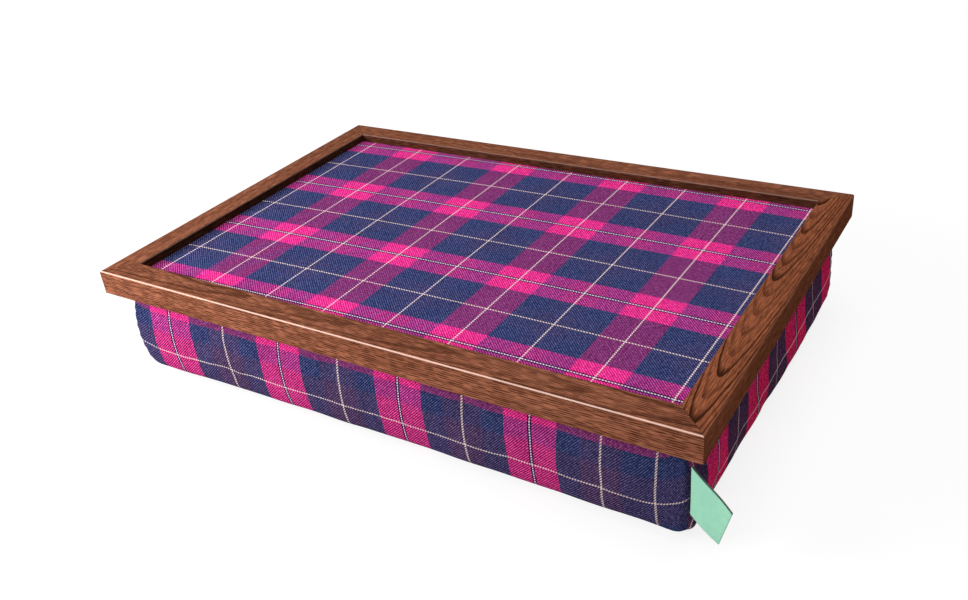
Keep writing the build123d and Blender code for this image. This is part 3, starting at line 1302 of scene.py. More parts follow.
@dataclass
class ClothPress:
    """Blows a bag up gently from inside, so that its cloth finds its own creases."""

    pressure: float = 4.0
    frames: int = 20
    slack: float = 0.03
    quality: int = 6
    mass: float = 0.25
    stretch_stiffness: float = 14
    shear_stiffness: float = 6
    bending_stiffness: float = 0.6
    air_damping: float = 2

    def moves(self, form: BagForm, neck_rows: int) -> Sides:
        """Simulates the cloth of a form.

        Args:
            form: The form that the cloth starts from.
            neck_rows: How many rows are held in the frame.

        Returns:
            How far each point of each strip moved.
        """
        strips = form.sides()
        bag = Bag(strips)
        flat_maps = [np.zeros(strip.shape[:2] + (2,)) for strip in strips]
        trial = bag.mesh("trial_bag", flat_maps, lid=False)
        held = trial.vertex_groups.new(name="held")
        held.add(list(range((neck_rows + 1) * bag.ring)), 1.0, "REPLACE")
        cloth = trial.modifiers.new("cloth", "CLOTH")
        self._settle(cloth.settings)
        cloth.collision_settings.use_collision = False
        scene = bpy.context.scene
        cloth.point_cache.frame_start = 1
        cloth.point_cache.frame_end = self.frames
        for frame in range(1, self.frames + 1):
            scene.frame_set(frame)
        done = trial.evaluated_get(bpy.context.evaluated_depsgraph_get())
        points = np.empty(len(done.data.vertices) * 3, np.float32)
        done.data.vertices.foreach_get("co", points)
        ring = points.reshape(-1, 3)[: bag.rows * bag.ring]
        moved = [ring[bag.index(quarter)] - strip for quarter, strip in enumerate(strips)]
        bpy.data.objects.remove(trial)
        scene.frame_set(1)
        return moved

    def _settle(self, settings: bpy.types.ClothSettings) -> None:
        """Sets the cloth's weight, stiffness and pressure."""
        settings.quality = self.quality
        settings.mass = self.mass
        settings.tension_stiffness = settings.compression_stiffness = self.stretch_stiffness
        settings.shear_stiffness = self.shear_stiffness
        settings.bending_stiffness = self.bending_stiffness
        settings.air_damping = self.air_damping
        settings.vertex_group_mass = "held"
        settings.shrink_min = -self.slack
        settings.use_pressure = True
        settings.uniform_pressure_force = self.pressure
        settings.effector_weights.gravity = 0


@dataclass
class Cushion:
    """The bag of beads under the frame: its check cover, its lining and its filling."""

    layout: Layout
    cover_grid: BagGrid = BagGrid(
        long_steps=132, short_steps=88, corner_steps=9, neck_rows=3, side_rows=20, edge_rows=13
    )
    press_grid: BagGrid = BagGrid(
        long_steps=72, short_steps=47, corner_steps=3, neck_rows=2, side_rows=11, edge_rows=6
    )
    inner_grid: BagGrid = BagGrid(
        long_steps=60, short_steps=40, corner_steps=4, neck_rows=2, side_rows=10, edge_rows=6
    )
    cover_thickness: float = 0.8 * MM
    press_inset: float = 2.6 * MM
    lining_depth: float = 1.9 * MM
    beads_depth: float = 2.8 * MM
    staple_room: float = 1 * MM
    staple_pitch: float = 42 * MM
    fill: float = 0.85
    seam_depth: float = 0.8 * MM
    seam_width: float = 1.3 * MM
    seam_full_height: float = 25 * MM
    seam_least: float = 0.35
    pucker: float = 0.45 * MM
    pucker_pitch: float = 8 * MM
    pucker_reach: float = 9 * MM
    gather: float = 0.5 * MM
    gather_reach: float = 11 * MM
    lump: float = 0.3 * MM
    lump_waves: tuple[float, float, float] = (61, 47, 17)
    ripple_share: float = 0.5
    ripple_waves: Span = (133, 88)
    relief_below_frame: float = 3 * MM
    relief_rise: Span = (0.5 * MM, 9 * MM)
    crease_reach: int = 7
    crease_gain: float = 0.4
    crease_most: float = 0.6 * MM
    crease_fade: float = 0.08
    crease_below_frame: float = 6 * MM
    crease_rise: Span = (2 * MM, 20 * MM)
    settled_reach: float = 4 * MM
    settled_share: float = 0.55
    settled_low: Span = (40 * MM, 14 * MM)
    settled_right: Span = (0.75, 0.93)
    settled_back: Span = (-1.0, 0.3)
    settled_corner: float = 0.5
    settled_corner_span: Span = (0.5, 0.95)

    def build(self) -> list[bpy.types.Object]:
        """Builds and dresses the three pieces.

        Returns:
            The cover, the lining and the beads.
        """
        hem = self._top_of("cushion_cover")
        rail_foot = BagSizes().rail_foot
        pressed = self._pressed(hem, rail_foot)
        pieces = [self._cover(BagForm(self.layout, self.cover_grid, 0, rail_foot, hem), pressed)]
        neck = rail_foot + self.cover_thickness + self.staple_room
        for name, node, slot, finish, depth in (
            ("bag_lining", "inner_bag", "calico", Calico(), self.lining_depth),
            ("bag_beads", "bead_filling", "beads", Beads(), self.beads_depth),
        ):
            form = BagForm(self.layout, self.inner_grid, depth, neck + depth, self._top_of(node))
            piece = Bag(self._moved(form, pressed)).mesh(name, self._cloth(form), lid=True)
            piece.data.materials.append(finish.material())
            piece.data.polygons.foreach_set("material_index", np.zeros(len(piece.data.polygons), np.int32))
            place_soft(piece, node)
            pieces.append(piece)
        return pieces

    @staticmethod
    def _top_of(node: str) -> float:
        """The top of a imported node."""
        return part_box(node)[1].z

    def _pressed(self, hem: float, rail_foot: float) -> tuple[BagForm, Sides]:
        """Args:
            hem: The height of the cover's hem.
            rail_foot: The width of the rail beside the hem.

        Returns:
            The form that was pressed, and how far its points ended from the cover's own form.
        """
        form = BagForm(self.layout, self.press_grid, self.press_inset, rail_foot + self.press_inset, hem)
        outer = BagForm(self.layout, self.press_grid, 0, rail_foot, hem)
        rest = [np.zeros_like(strip) for strip in outer.sides()]
        moves = ClothPress().moves(form, self.press_grid.neck_rows)
        return outer, [self._creases(move) for move in moves]

    def _creases(self, moves: np.ndarray) -> np.ndarray:
        """Keeps the creases of the pressed cloth and leaves its general swelling to the form.

        A crease is a move less the mean of its neighbours along the row. It fades out at the seams, and the
        hyperbolic tangent of its share of the most allowed caps it.

        Args:
            moves: How far each point of a strip moved.

        Returns:
            The creases.
        """
        reach = self.crease_reach
        padded = np.pad(moves, ((0, 0), (reach, reach), (0, 0)), mode="edge")
        mean = np.lib.stride_tricks.sliding_window_view(padded, 2 * reach + 1, axis=1).mean(-1)
        crease = (moves - mean) * self.crease_gain
        length = np.maximum(np.linalg.norm(crease, axis=-1, keepdims=True), TINY)
        share = np.linspace(0, 1, moves.shape[1])[None, :, None]
        inside = smooth_step(share, 0, self.crease_fade) * smooth_step(1 - share, 0, self.crease_fade)
        return crease * inside * self.crease_most * np.tanh(length / self.crease_most) / length

    def _moved(self, form: BagForm, pressed: tuple[BagForm, Sides]) -> Sides:
        """Carries the pressed cloth's moves over to a form of another grid.

        Between rows a move is read by the run along the profile, and between columns by the share of the
        strip's length.

        Args:
            form: The form to move.
            pressed: The pressed form and its moves.

        Returns:
            The form's strips, moved, with nothing above the frame's foot moved and nothing below the floor.
        """
        source, moves = pressed
        own_rows, source_rows = profile_run(form), profile_run(source)
        height, foot = form.stations()[0], self.layout.frame_foot
        fade = smooth_step(height, foot, foot - self.crease_below_frame)
        fade = fade * smooth_step(height, *self.crease_rise)
        strips = []
        for quarter, strip in enumerate(form.sides()):
            own = column_share(strip)
            other = column_share(source.sides()[quarter])
            local = turned(moves[quarter], -quarter)
            down = np.stack([between(own_rows, source_rows, local[:, c]) for c in range(local.shape[1])], 1)
            over = np.stack([between(own, other, down[r]) for r in range(down.shape[0])], 0)
            moved = strip + turned(over * fade[:, None, None], quarter)
            moved[..., 2] = np.maximum(moved[..., 2], form.skin)
            strips.append(moved)
        return strips

    def _cover(self, form: BagForm, pressed: tuple[BagForm, Sides]) -> bpy.types.Object:
        """Builds the check cover with its seams, puckers, gathers and lumps.

        Args:
            form: The cover's form.
            pressed: The pressed form and its moves.

        Returns:
            The cover.
        """
        strips = [self._settled(form, strip) for strip in self._moved(form, pressed)]
        cloth = self._cloth(form)
        outward = strip_normals(strips)
        for quarter, strip in enumerate(strips):
            relief = self._relief(form, strip, cloth[quarter], quarter)
            strip += outward[quarter] * relief[..., None]
            strip[..., 2] = np.maximum(strip[..., 2], 0)
        level_base(strips)
        cover = Bag(strips).mesh("bag_cloth", cloth, lid=False)
        for finish in (FRONT_CHECK, END_CHECK, CORNER_CHECK):
            cover.data.materials.append(finish.material())
        Surface.thicken(cover, self.cover_thickness)
        place_soft(cover, "cushion_cover")
        return cover

    def _settled(self, form: BagForm, strip: np.ndarray) -> np.ndarray:
        """Fills out the foot of the right end towards the back, where the beads have run to.

        The push along x is a share of the base edge's turn and a reach low on the side. It grows from the
        front of the end to its back part, and is less again at the corner.

        Args:
            form: The cover's form.
            strip: One strip's points.

        Returns:
            The moved points.
        """
        height, turn = form.stations()
        push = self.settled_share * turn + self.settled_reach * smooth_step(height, *self.settled_low)
        right = smooth_step(strip[..., 0] / self.layout.half_length, *self.settled_right)
        back = smooth_step(strip[..., 1] / self.layout.half_depth, *self.settled_back)
        corner = smooth_step(strip[..., 1] / self.layout.half_depth, *self.settled_corner_span)
        settled = strip.copy()
        settled[..., 0] += push[:, None] * right * back * (1 - self.settled_corner * corner)
        return settled

    def _relief(self, form: BagForm, strip: np.ndarray, cloth: np.ndarray, quarter: int) -> np.ndarray:
        """How far the cover stands out of its plain form.

        A seam is a narrow bell pulled inwards, less so near the base. Puckers are waves down the seam that
        die away from it. Gathers are waves under the frame, one to a staple. Lumps are long sine waves that
        cross, whose turns are in radians a metre, and which start differently on each side.

        Args:
            form: The cover's form.
            strip: One strip's points.
            cloth: Its cloth coordinates.
            quarter: Its number.

        Returns:
            Distances, rows by columns.
        """
        height = form.stations()[0][:, None]
        run = np.stack([run_along(row) for row in strip])
        seam = np.minimum(run, run[:, -1:] - run)
        down = cloth[..., 1]
        along = turned(strip, -quarter)[..., 0]
        groove = -self.seam_depth * np.exp(-((seam / self.seam_width) ** 2))
        wave = np.sin(2 * np.pi * down / self.pucker_pitch + quarter)
        near_seam = np.exp(-seam / self.pucker_reach) * (1 - np.exp(-seam / self.seam_width))
        gathers = self.gather * np.cos(2 * np.pi * along / self.staple_pitch)
        gathers = gathers * np.exp(-((down / self.gather_reach) ** 2))
        first, second, third = self.lump_waves
        lumps = np.sin(along * first + quarter * 2) * np.cos(down * second + along * third)
        first, second = self.ripple_waves
        lumps = self.lump * (lumps + self.ripple_share * np.sin(along * first + down * second + quarter))
        foot = self.layout.frame_foot
        under_frame = smooth_step(height, foot, foot - self.relief_below_frame)
        above_base = smooth_step(height, *self.relief_rise)
        fuller = self.seam_least + (1 - self.seam_least) * smooth_step(height, 0, self.seam_full_height)
        loose = self.pucker * wave * near_seam + gathers + lumps
        return groove * fuller * under_frame + loose * under_frame * above_base

    def _cloth(self, form: BagForm) -> list[np.ndarray]:
        """The cloth's coordinates on each strip: across its upright stripes, and down from the frame.

        Args:
            form: The bag's form.

        Returns:
            One array a strip, rows by columns by two.
        """
        down = profile_run(form)
        maps = []
        for quarter, strip in enumerate(form.sides()):
            along = turned(strip, -quarter)[..., 0]
            half, _ = self.layout.halves(quarter)
            level = np.broadcast_to(down[:, None], along.shape)
            maps.append(PANELS[quarter % 2].coordinates(along, level, half))
        return maps


def place_soft(piece: bpy.types.Object, node: str) -> None:
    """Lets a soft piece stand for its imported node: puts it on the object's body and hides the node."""
    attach(piece, BODY)
    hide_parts(node)


def profile_run(form: BagForm) -> np.ndarray:
    """Length along the side's profile, from the frame's foot down, negative in the neck.

    Args:
        form: The bag's form.

    Returns:
        One length a row.
    """
    middle = form.sides()[0].shape[1] // 2
    run = run_along(form.sides()[0][:, middle, 1:])
    return run - run[form.grid.neck_rows]


def column_share(strip: np.ndarray) -> np.ndarray:
    """Each column's share of the strip's length, read on the middle row."""
    run = run_along(strip[len(strip) // 2])
    return run / run[-1]


def between(wanted: np.ndarray, known: np.ndarray, values: np.ndarray) -> np.ndarray:
    """Reads three-part values at new places by straight lines between the known ones."""
    return np.stack([np.interp(wanted, known, values[:, axis]) for axis in range(3)], -1)


def strip_normals(strips: Sides) -> Sides:
    """Outward directions of the strips, where two strips that meet at a seam share the mean of theirs.

    Args:
        strips: The four strips, whose rows run down and whose columns run anticlockwise.

    Returns:
        Unit directions for each.
    """
    normals = []
    for strip in strips:
        normal = np.cross(np.gradient(strip, axis=0), np.gradient(strip, axis=1))
        normals.append(normal / np.maximum(np.linalg.norm(normal, axis=-1, keepdims=True), TINY))
    for quarter in range(4):
        after = (quarter + 1) % 4
        mean = normals[quarter][:, -1] + normals[after][:, 0]
        mean /= np.maximum(np.linalg.norm(mean, axis=-1, keepdims=True), TINY)
        normals[quarter][:, -1] = mean
        normals[after][:, 0] = mean
    return normals


def level_base(strips: Sides) -> None:
    """Sets the last row of each strip flat on the floor."""
    for strip in strips:
        strip[-1, :, 2] = 0


@dataclass(frozen=True)
class Panel:
    """How the cloth of one side lies: its stripes' bow, a pieced join and its lift at the corners."""

    bow: float
    join_at: float
    join_step: float
    lift_run: float
    start_lift: float
    end_lift: float
    slope: float
    most_lift_run: float = 1.3

    def coordinates(self, along: np.ndarray, down: np.ndarray, half: float) -> np.ndarray:
        """Gives the cloth's coordinates.

        The first is the place along the side plus its square times the bow. The second is the run down from
        the frame, plus the slope's share of the place, and a lift that grows with the square towards each
        corner.

        Args:
            along: Places along the side, from its middle.
            down: Runs down from the frame.
            half: Half the frame's length on this side.

        Returns:
            The two coordinates on a last axis.
        """
        first = along + self.bow * along**2
        corner = half - BagSizes().rail_foot
        near_end = np.clip((along - corner + self.lift_run) / self.lift_run, 0, self.most_lift_run)
        near_start = np.clip((-along - corner + self.lift_run) / self.lift_run, 0, self.most_lift_run)
        lift = self.end_lift * near_end**2 + self.start_lift * near_start**2
        return np.stack([first, down + lift + along * self.slope], -1)


PANELS = (
    Panel(
        bow=0.25,
        join_at=183.5 * MM,
        join_step=34.8 * MM,
        lift_run=26 * MM,
        start_lift=4 * MM,
        end_lift=9 * MM,
        slope=0.0,
    ),
    Panel(
        bow=-0.5,
        join_at=math.inf,
        join_step=0.0,
        lift_run=20 * MM,
        start_lift=4 * MM,
        end_lift=3 * MM,
        slope=0.035,
    ),
)

END_DYES = Dyes(
    navy=tone(54, 38, 76),
    shaded=tone(80, 40, 74),
    bright_band=tone(226, 20, 104),
    bright_on_shade=tone(236, 16, 92),
    pink_thread=tone(236, 20, 104),
    navy_thread=tone(70, 24, 66),
)
TRAY_DYES = Dyes(bright_band=tone(143, 40, 124), crossing=tone(232, 40, 138), dim_band=tone(117, 37, 104))
LEVEL_STRIPES = Stripes(
    repeat=95.8 * MM,
    first_band=-3.1 * MM,
    band=34.4 * MM,
    band_line=0.94 * MM,
    line_edge=0,
    ground_line=0.94 * MM,
    shade=34 * MM,
)
FRONT_CHECK = CheckCloth(
    name="front_check_cloth",
    bright=Stripes(
        repeat=94.3 * MM,
        first_band=-164.4 * MM,
        band=35.2 * MM,
        band_line=0.94 * MM,
        line_edge=0.94 * MM,
        ground_line=1.41 * MM,
        shade=27 * MM,
    ),
    dim=LEVEL_STRIPES,
    shading=0.9,
    dye_and_shade_depth=0.9,
)
# The pieced corner has no shaded stripe about its cream lines, and painted shade near the corner and the tab
# darkens it.
CORNER_CHECK = replace(
    FRONT_CHECK,
    name="corner_check_cloth",
    bright=replace(FRONT_CHECK.bright, shade=0.2 * MM),
    dye_and_shade_depth=0.84,
)
END_CHECK = CheckCloth(
    name="end_check_cloth",
    bright=Stripes(
        repeat=77 * MM,
        first_band=-107 * MM,
        band=40 * MM,
        band_line=1.41 * MM,
        line_edge=1.41 * MM,
        ground_line=0.94 * MM,
        shade=22 * MM,
    ),
    dim=LEVEL_STRIPES,
    shading=1.0,
    dye_and_shade_depth=1.05,
    dyes=END_DYES,
    weave_show=0.25,
)
TRAY_CHECK = CheckCloth(
    name="tray_check_cloth",
    bright=Stripes(
        repeat=81 * MM,
        first_band=-117.2 * MM,
        band=27.2 * MM,
        band_line=1 * MM,
        line_edge=1 * MM,
        ground_line=1 * MM,
        shade=24 * MM,
    ),
    dim=Stripes(
        repeat=96.35 * MM,
        first_band=-138.4 * MM,
        band=34.4 * MM,
        band_line=1 * MM,
        line_edge=0,
        ground_line=1 * MM,
        shade=24 * MM,
    ),
    shading=0.25,
    dye_and_shade_depth=1.06,
    dyes=TRAY_DYES,
    weave_show=0.25,
    float_shading=0.75,
    thread=0.5 * MM,
)


@dataclass
class TrayPanel:
    """The board and the check cloth that is stretched over it and turned under."""

    layout: Layout
    cloth_thickness: float = 0.4 * MM
    nip: float = 0.2 * MM
    nip_run: float = 1.5 * MM
    nip_end: float = 0.4
    edge_radius: float = 0.6 * MM
    edge_points: int = 4
    turned_margin: float = 18 * MM
    margin_steps: int = 4
    step: float = 6 * MM
    weld: float = 0.01 * MM
    depth_lay: tuple[float, ...] = (0.002717, -0.012042, 0.990046, 0.093833, 0.016999, -0.1361)
    length_lay: tuple[float, ...] = (-0.000984, 1.007921, -0.013703, 0.101793, -0.012615, 0.008271)

    def build(self) -> list[bpy.types.Object]:
        """Builds the cloth and dresses the board.

        Returns:
            The cloth.
        """
        low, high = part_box("tray_cloth")
        half = np.array([high.x, high.y]) - self.edge_radius
        path = self._edge_path(high.z - self.nip, low.z)
        run = run_along(path)
        flaps = [self._flap(half, path, run, quarter) for quarter in range(4)]
        cloth = self._joined([self._field(half, high.z), *flaps])
        cloth.data.materials.append(TRAY_CHECK.material())
        Surface.thicken(cloth, self.cloth_thickness)
        place_soft(cloth, "tray_cloth")
        width, length = 2 * (half + run[-1])
        area = width * length - 4 * run[-1] ** 2 - 4 * self.turned_margin**2
        dress("tray_board", Hardboard().material())
        return [cloth]

    def _edge_path(self, top: float, bottom: float) -> np.ndarray:
        """The cloth's way round the board's edge, out and up, from the top to the turned margin.

        Args:
            top: The height of the cloth under the lip.
            bottom: The height of the turned margin.

        Returns:
            Points, two numbers each.
        """
        radius = self.edge_radius
        angle = np.linspace(0, math.pi / 2, self.edge_points)
        over = np.stack([radius * np.sin(angle), top - radius + radius * np.cos(angle)], -1)
        under = np.stack([radius * np.cos(angle), bottom + radius - radius * np.sin(angle)], -1)
        margin = np.linspace(0, -self.turned_margin, self.margin_steps + 1)[1:]
        inward = np.stack([margin, np.full(len(margin), bottom)], -1)
        return np.concatenate([over, under, inward])

    def _field(self, half: np.ndarray, top: float) -> tuple[np.ndarray, np.ndarray, np.ndarray]:
        """The flat field, which dips under the lip along its edges.

        Args:
            half: Half its length and half its depth.
            top: Its height.

        Returns:
            Points, faces and cloth coordinates at the faces' corners.
        """
        axes = []
        for reach, window in zip(half, self._window()):
            steps = int(round(2 * window / self.step))
            inner = np.linspace(-window, window, steps + 1)
            edge = window + np.array([self.nip_end, 1.0]) * self.nip_run
            edge = np.append(edge[edge < reach], reach)
            axes.append(np.concatenate([-edge[::-1], inner, edge]))
        x, y = np.meshgrid(axes[0], axes[1])
        past = np.maximum(np.abs(x) - self._window()[0], np.abs(y) - self._window()[1])
        z = top - self.nip * smooth_step(past, -self.nip_run, self.nip_run * self.nip_end)
        index = np.arange(x.size).reshape(x.shape)
        faces = Surface.quads(index)[:, ::-1]
        maps = self._coordinates(x, y).reshape(-1, 2)[faces]
        return np.stack([x, y, z], -1).reshape(-1, 3), faces, maps

    def _window(self) -> Span:
        """Half the length and half the depth of the opening inside the rails."""
        layout = self.layout
        return layout.half_length - layout.rail_width, layout.half_depth - layout.rail_width

    def _flap(
        self, half: np.ndarray, path: np.ndarray, run: np.ndarray, quarter: int
    ) -> tuple[np.ndarray, np.ndarray, np.ndarray]:
        """One edge of the cloth, carried round the board's edge, with its margin mitred at both ends.

        Args:
            half: Half the field's length and half its depth.
            path: The way round the edge.
            run: The length along it.
            quarter: Which edge, from the front on.

        Returns:
            Points, faces and cloth coordinates at the faces' corners.
        """
        reach, out = half[::-1] if quarter % 2 else half
        share = np.linspace(-1, 1, int(round(2 * reach / self.step)) + 1)
        narrowing = np.maximum(-path[:, 0], 0)[:, None]
        along = share[None] * (reach - narrowing)
        across = np.broadcast_to(-(out + path[:, :1]), along.shape)
        level = np.broadcast_to(path[:, 1:], along.shape)
        points = turned(np.stack([along, across, level], -1), quarter)
        spread = np.stack([along, np.broadcast_to(-(out + run[:, None]), along.shape), level], -1)
        spread = turned(spread, quarter)
        faces = Surface.quads(np.arange(along.size).reshape(along.shape))
        maps = self._coordinates(spread[..., 0], spread[..., 1]).reshape(-1, 2)[faces]
        return points.reshape(-1, 3), faces, maps

    def _coordinates(self, x: np.ndarray, y: np.ndarray) -> np.ndarray:
        """The cloth's coordinates: depth for the bright bands and length for the dim ones.

        The cloth was stretched by hand, so each is a quadratic of the place. A lay's six numbers are those of
        1, x, y, x^2, xy and y^2.

        Args:
            x: Places along the tray.
            y: Places across it.

        Returns:
            The two coordinates on a last axis.
        """
        terms = np.stack([np.ones_like(x), x, y, x * x, x * y, y * y], -1)
        return np.stack([terms @ np.array(self.depth_lay), terms @ np.array(self.length_lay)], -1)

    def _joined(self, parts: list[tuple[np.ndarray, np.ndarray, np.ndarray]]) -> bpy.types.Object:
        """Makes one mesh of the field and its flaps, sewn together where they meet.

        Args:
            parts: Points, faces and cloth coordinates of each.

        Returns:
            The cloth.
        """
        starts = np.cumsum([0] + [len(points) for points, _, _ in parts])
        points = np.concatenate([points for points, _, _ in parts])
        faces = np.concatenate([faces + start for (_, faces, _), start in zip(parts, starts)])
        maps = np.concatenate([maps for _, _, maps in parts])
        cloth = Surface.build("tray_cloth_cover", points, faces, maps)
        work = bmesh.new()
        work.from_mesh(cloth.data)
        bmesh.ops.remove_doubles(work, verts=work.verts, dist=self.weld)
        work.to_mesh(cloth.data)
        work.free()
        return cloth


@dataclass
class CornerTab:
    """The folded cloth tab in the front right corner seam. It bears no mark."""

    length: float = 30 * MM
    root_width: float = 32.5 * MM
    tip_width: float = 27 * MM
    turn: float = math.radians(-18.5)
    droop: float = math.radians(31)
    tip_tilt: float = math.radians(16)
    crown: float = 0.3 * MM
    layer_gap: float = 0.3 * MM
    thickness: float = 0.28 * MM
    curl: float = 1.6 * MM
    curl_share: float = 0.6
    sway_share: float = 0.2
    slant: float = 0.97
    fold_width: float = 0.0001
    long_steps: int = 26
    cross_steps: int = 22
    fold_steps: int = 5

    def build(self) -> list[bpy.types.Object]:
        """Builds the tab as one strip of tape, out along its front, round the fold and back.

        Returns:
            The tab.
        """
        low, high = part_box("label_tab")
        seat = np.array([low.x, high.y, high.z - self.crown / 2])
        out = np.linspace(0, 1, self.long_steps + 1)
        bend = np.linspace(0, math.pi, self.fold_steps + 2)[1:-1]
        reach = np.concatenate([out, 1 + np.sin(bend) * self.layer_gap / self.length, out[::-1]])
        side = np.concatenate([np.ones(len(out)), np.cos(bend), -np.ones(len(out))])
        drop = np.linspace(0, 1, self.cross_steps + 1)
        along, height, aside = self._shape(reach[:, None], drop[None], side[:, None])
        direction = np.array([math.cos(self.turn), math.sin(self.turn), 0])
        facing = np.array([math.sin(self.turn), -math.cos(self.turn), 0])
        points = seat + along[..., None] * direction + aside[..., None] * facing
        points[..., 2] += height
        run = np.concatenate([[0], np.cumsum(np.abs(np.diff(reach)) + self.fold_width)]) * self.length
        faces = Surface.quads(np.arange(points[..., 0].size).reshape(points.shape[:2]))
        grid = np.stack(np.broadcast_arrays(run[:, None], drop[None] * self.root_width), -1)
        tab = Surface.build("corner_tab_tape", points, faces, grid.reshape(-1, 2)[faces])
        tab.data.materials.append(Tape().material())
        Surface.thicken(tab, self.thickness)
        place_soft(tab, "label_tab")
        return [tab]

    def _shape(self, reach: np.ndarray, drop: np.ndarray, side: np.ndarray) -> tuple[np.ndarray, ...]:
        """Place of the tape in the tab's own plane, and out of it.

        The upper and the lower edge are chords that droop by their own angles, each with a parabola for its
        crown. The width is ruled between them. Out of the plane the lower edge curls by half a sine along it
        and the cube of how low a point is, and the upper edge sways by a whole sine.

        Args:
            reach: Share of the length, out from the seam.
            drop: Share of the width, down from the upper edge.
            side: One on the front layer, minus one on the back layer.

        Returns:
            Distance out, height below the seat and distance towards the front.
        """
        tip_out = self.length * math.cos(self.droop)
        tip_down = -self.length * math.sin(self.droop)
        low_out = tip_out - self.tip_width * math.sin(self.tip_tilt)
        low_down = tip_down - self.tip_width * math.cos(self.tip_tilt)
        arch = self.crown * 4 * reach * (1 - reach)
        upper = (reach * tip_out, reach * tip_down + arch)
        lower = (reach * low_out, -self.root_width + reach * (low_down + self.root_width) + arch)
        along = upper[0] + drop * (lower[0] - upper[0])
        height = upper[1] + drop * (lower[1] - upper[1])
        way = np.pi * np.clip(reach, 0, 1)
        curl = self.curl_share * self.curl * drop**3 * np.sin(way)
        sway = self.sway_share * self.curl * np.sin(2 * way) * (1 - drop)
        return along, height, side * self.layer_gap / 2 + curl + sway


@dataclass
class HardwoodFrame:
    """The four mitred rails and the steel that holds the tray together."""

    layout: Layout

    def build(self) -> list[bpy.types.Object]:
        """Dresses the rails and the fasteners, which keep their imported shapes.

        Returns:
            Nothing new, so an empty list.
        """
        for quarter, (name, look) in enumerate(RAIL_LOOKS.items()):
            _, outer_face = self.layout.halves(quarter)
            dress(name, Walnut(f"walnut_{name}", look, self.layout, outer_face).material())
        steel = Steel().material()
        for name in ("board_points", "corner_v_nails", "hem_staples"):
            dress(name, steel)
        return []


def dress(node: str, material: bpy.types.Material) -> None:
    """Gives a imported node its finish."""
    piece = bpy.data.objects[node]
    if not piece.material_slots:
        piece.data.materials.append(material)
    for slot in piece.material_slots:
        slot.material = material
    LOG.info("%s keeps its packed shape and is finished in %s", node, material.name)


@dataclass(frozen=True)
class SoftBox:
    """A studio lamp with a cloth front."""

    name: str
    place: tuple[float, float, float]
    aim: tuple[float, float, float]
    size: tuple[float, float]
    watts: float

    def hang(self) -> bpy.types.Object:
        """Hangs the lamp and points it, with its first side level.

        Returns:
            The lamp.
        """
        data = bpy.data.lights.new(self.name, "AREA")
        data.shape = "RECTANGLE"
        data.size, data.size_y = self.size
        data.energy = self.watts
        lamp = bpy.data.objects.new(self.name, data)
        away = (Vector(self.place) - Vector(self.aim)).normalized()
        lamp.matrix_world = level_frame(away, Vector(self.place))
        bpy.context.scene.collection.objects.link(lamp)
        return lamp


def level_frame(away: Vector, place: Vector, roll: float = 0.0) -> Matrix:
    """Axes that look against a direction, with the first one level before a roll.

    Args:
        away: The direction from what is looked at.
        place: The origin.
        roll: A turn about the line of sight, in radians.

    Returns:
        The matrix of lamp or camera.
    """
    right = Vector((-away.y, away.x, 0)).normalized()
    up = away.cross(right)
    turned_right = right * math.cos(roll) + up * math.sin(roll)
    turned_up = up * math.cos(roll) - right * math.sin(roll)
    axes = Matrix((turned_right, turned_up, away)).transposed().to_4x4()
    return Matrix.Translation(place) @ axes


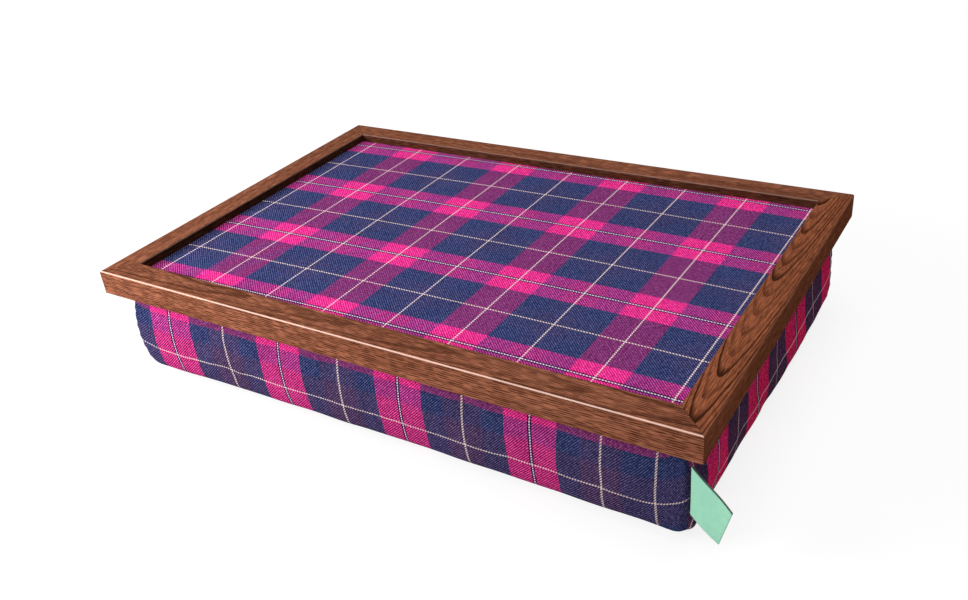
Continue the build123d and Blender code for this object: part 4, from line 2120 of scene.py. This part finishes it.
@dataclass
class Studio:
    """A pale floor under soft lamps, seen from the photograph's place."""

    camera_place: tuple[float, float, float] = (0.344907, -0.516404, 0.393743)
    azimuth: float = math.radians(33.782)
    elevation: float = math.radians(30.169)
    roll: float = math.radians(-5.605)
    lens: float = 36.61
    sensor: float = 36.0
    floor_reach: float = 4.0
    floor_near: float = 0.32
    floor_far: float = 0.75
    floor_glow: float = 0.72
    floor_lift: float = 0.6
    floor_drop: float = 0.4 * MM
    paper: float = 0.8
    mottle: float = 0.02
    mottle_grain: Grain = Grain(30)
    ambient: float = 0.14
    near_clip: float = 10 * MM

    def build(self) -> None:
        """Sets up the view, the floor, the lamps and the surroundings."""
        self._camera()
        self._floor()
        self._surroundings()
        for box in self.lamps():
            box.hang()
        bpy.context.scene.view_settings.view_transform = "Standard"

    def lamps(self) -> list[SoftBox]:
        """A lamp near the front left corner, and a broad one overhead."""
        return [
            SoftBox(
                "left_lamp", place=(-0.6, -0.55, 0.42), aim=(-0.1, -0.1, 0.05), size=(0.6, 0.25), watts=7.8
            ),
            SoftBox("top_lamp", place=(0.2, 0.0, 1.6), aim=(0.05, 0.0, 0.08), size=(1.4, 1.0), watts=14.5),
        ]

    def _camera(self) -> None:
        """Places the camera where the photograph was taken from."""
        data = bpy.data.cameras.new("photo_camera")
        data.lens = self.lens
        data.sensor_width = self.sensor
        data.sensor_fit = "HORIZONTAL"
        data.clip_start = self.near_clip
        level = math.cos(self.elevation)
        away = Vector(
            (math.sin(self.azimuth) * level, -math.cos(self.azimuth) * level, math.sin(self.elevation))
        )
        camera = bpy.data.objects.new("photo_camera", data)
        camera.matrix_world = level_frame(away, Vector(self.camera_place), self.roll)
        bpy.context.scene.collection.objects.link(camera)
        bpy.context.scene.camera = camera

    def _floor(self) -> None:
        """Lays a pale floor that takes the shadow near the object and fades into the white beyond it."""
        square = np.array([[-1, -1, 0], [1, -1, 0], [1, 1, 0], [-1, 1, 0]])
        points = square * self.floor_reach - (0, 0, self.floor_drop)
        floor = Surface.build("studio_floor", points, np.array([[0, 1, 2, 3]]))
        material = bpy.data.materials.new("studio_floor")
        material.use_nodes = True
        paint = Paint(material.node_tree)
        x, y, z = paint.split(paint.object_place())
        away = (x * x + y * y).root()
        grey = paint.grain(self.mottle_grain, x, y, z) * self.mottle + self.paper
        paper = paint.node("ShaderNodeBsdfDiffuse", inputs={"Color": paint.join(grey, grey, grey)})
        share = away.rise(self.floor_near, self.floor_far).down_to(self.floor_glow)
        strength = (1 - share) * self.floor_lift + 1
        glow = paint.node("ShaderNodeEmission", inputs={"Color": WHITE, "Strength": strength})
        seen = self._seen_rays(paint) * share
        mixed = paint.node("ShaderNodeMixShader", inputs={0: seen, 1: paper, 2: glow})
        paint.node("ShaderNodeOutputMaterial", inputs={"Surface": mixed})
        floor.data.materials.append(material)

    @staticmethod
    def _seen_rays(paint: Paint) -> Wire:
        """One for rays that show the background: the camera's, and those by way of gloss or glass."""
        outputs = paint.node("ShaderNodeLightPath").socket.node.outputs
        kinds = ("Is Camera Ray", "Is Glossy Ray", "Is Transmission Ray")
        rays = [Wire(paint, outputs[kind]) for kind in kinds]
        return (rays[0] + rays[1] + rays[2]) > 0.5

    def _surroundings(self) -> None:
        """Fills the world with even light, which is seen as white."""
        world = bpy.data.worlds.new("studio_world")
        bpy.context.scene.world = world
        world.use_nodes = True
        paint = Paint(world.node_tree)
        strength = self._seen_rays(paint).down_to(self.ambient)
        light = paint.node("ShaderNodeBackground", inputs={"Color": WHITE, "Strength": strength})
        paint.node("ShaderNodeOutputWorld", inputs={"Surface": light})


def corners(box: tuple[Vector, Vector]) -> list[list[float]]:
    """A box's two corners as plain lists."""
    return [[float(number) for number in corner] for corner in box]


def main() -> None:
    """Loads the frame, dresses each sub-assembly in order and sets up the studio."""
    logging.basicConfig(level=logging.INFO, format="%(name)s: %(message)s")
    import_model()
    layout = Layout.measured()
    for assembly in (HardwoodFrame(layout), TrayPanel(layout), Cushion(layout), CornerTab()):
        for piece in assembly.build():
            mesh = piece.data
            LOG.info("%s: %d vertices, %d faces", piece.name, len(mesh.vertices), len(mesh.polygons))
    Studio().build()


if __name__ == "__main__":
    main()
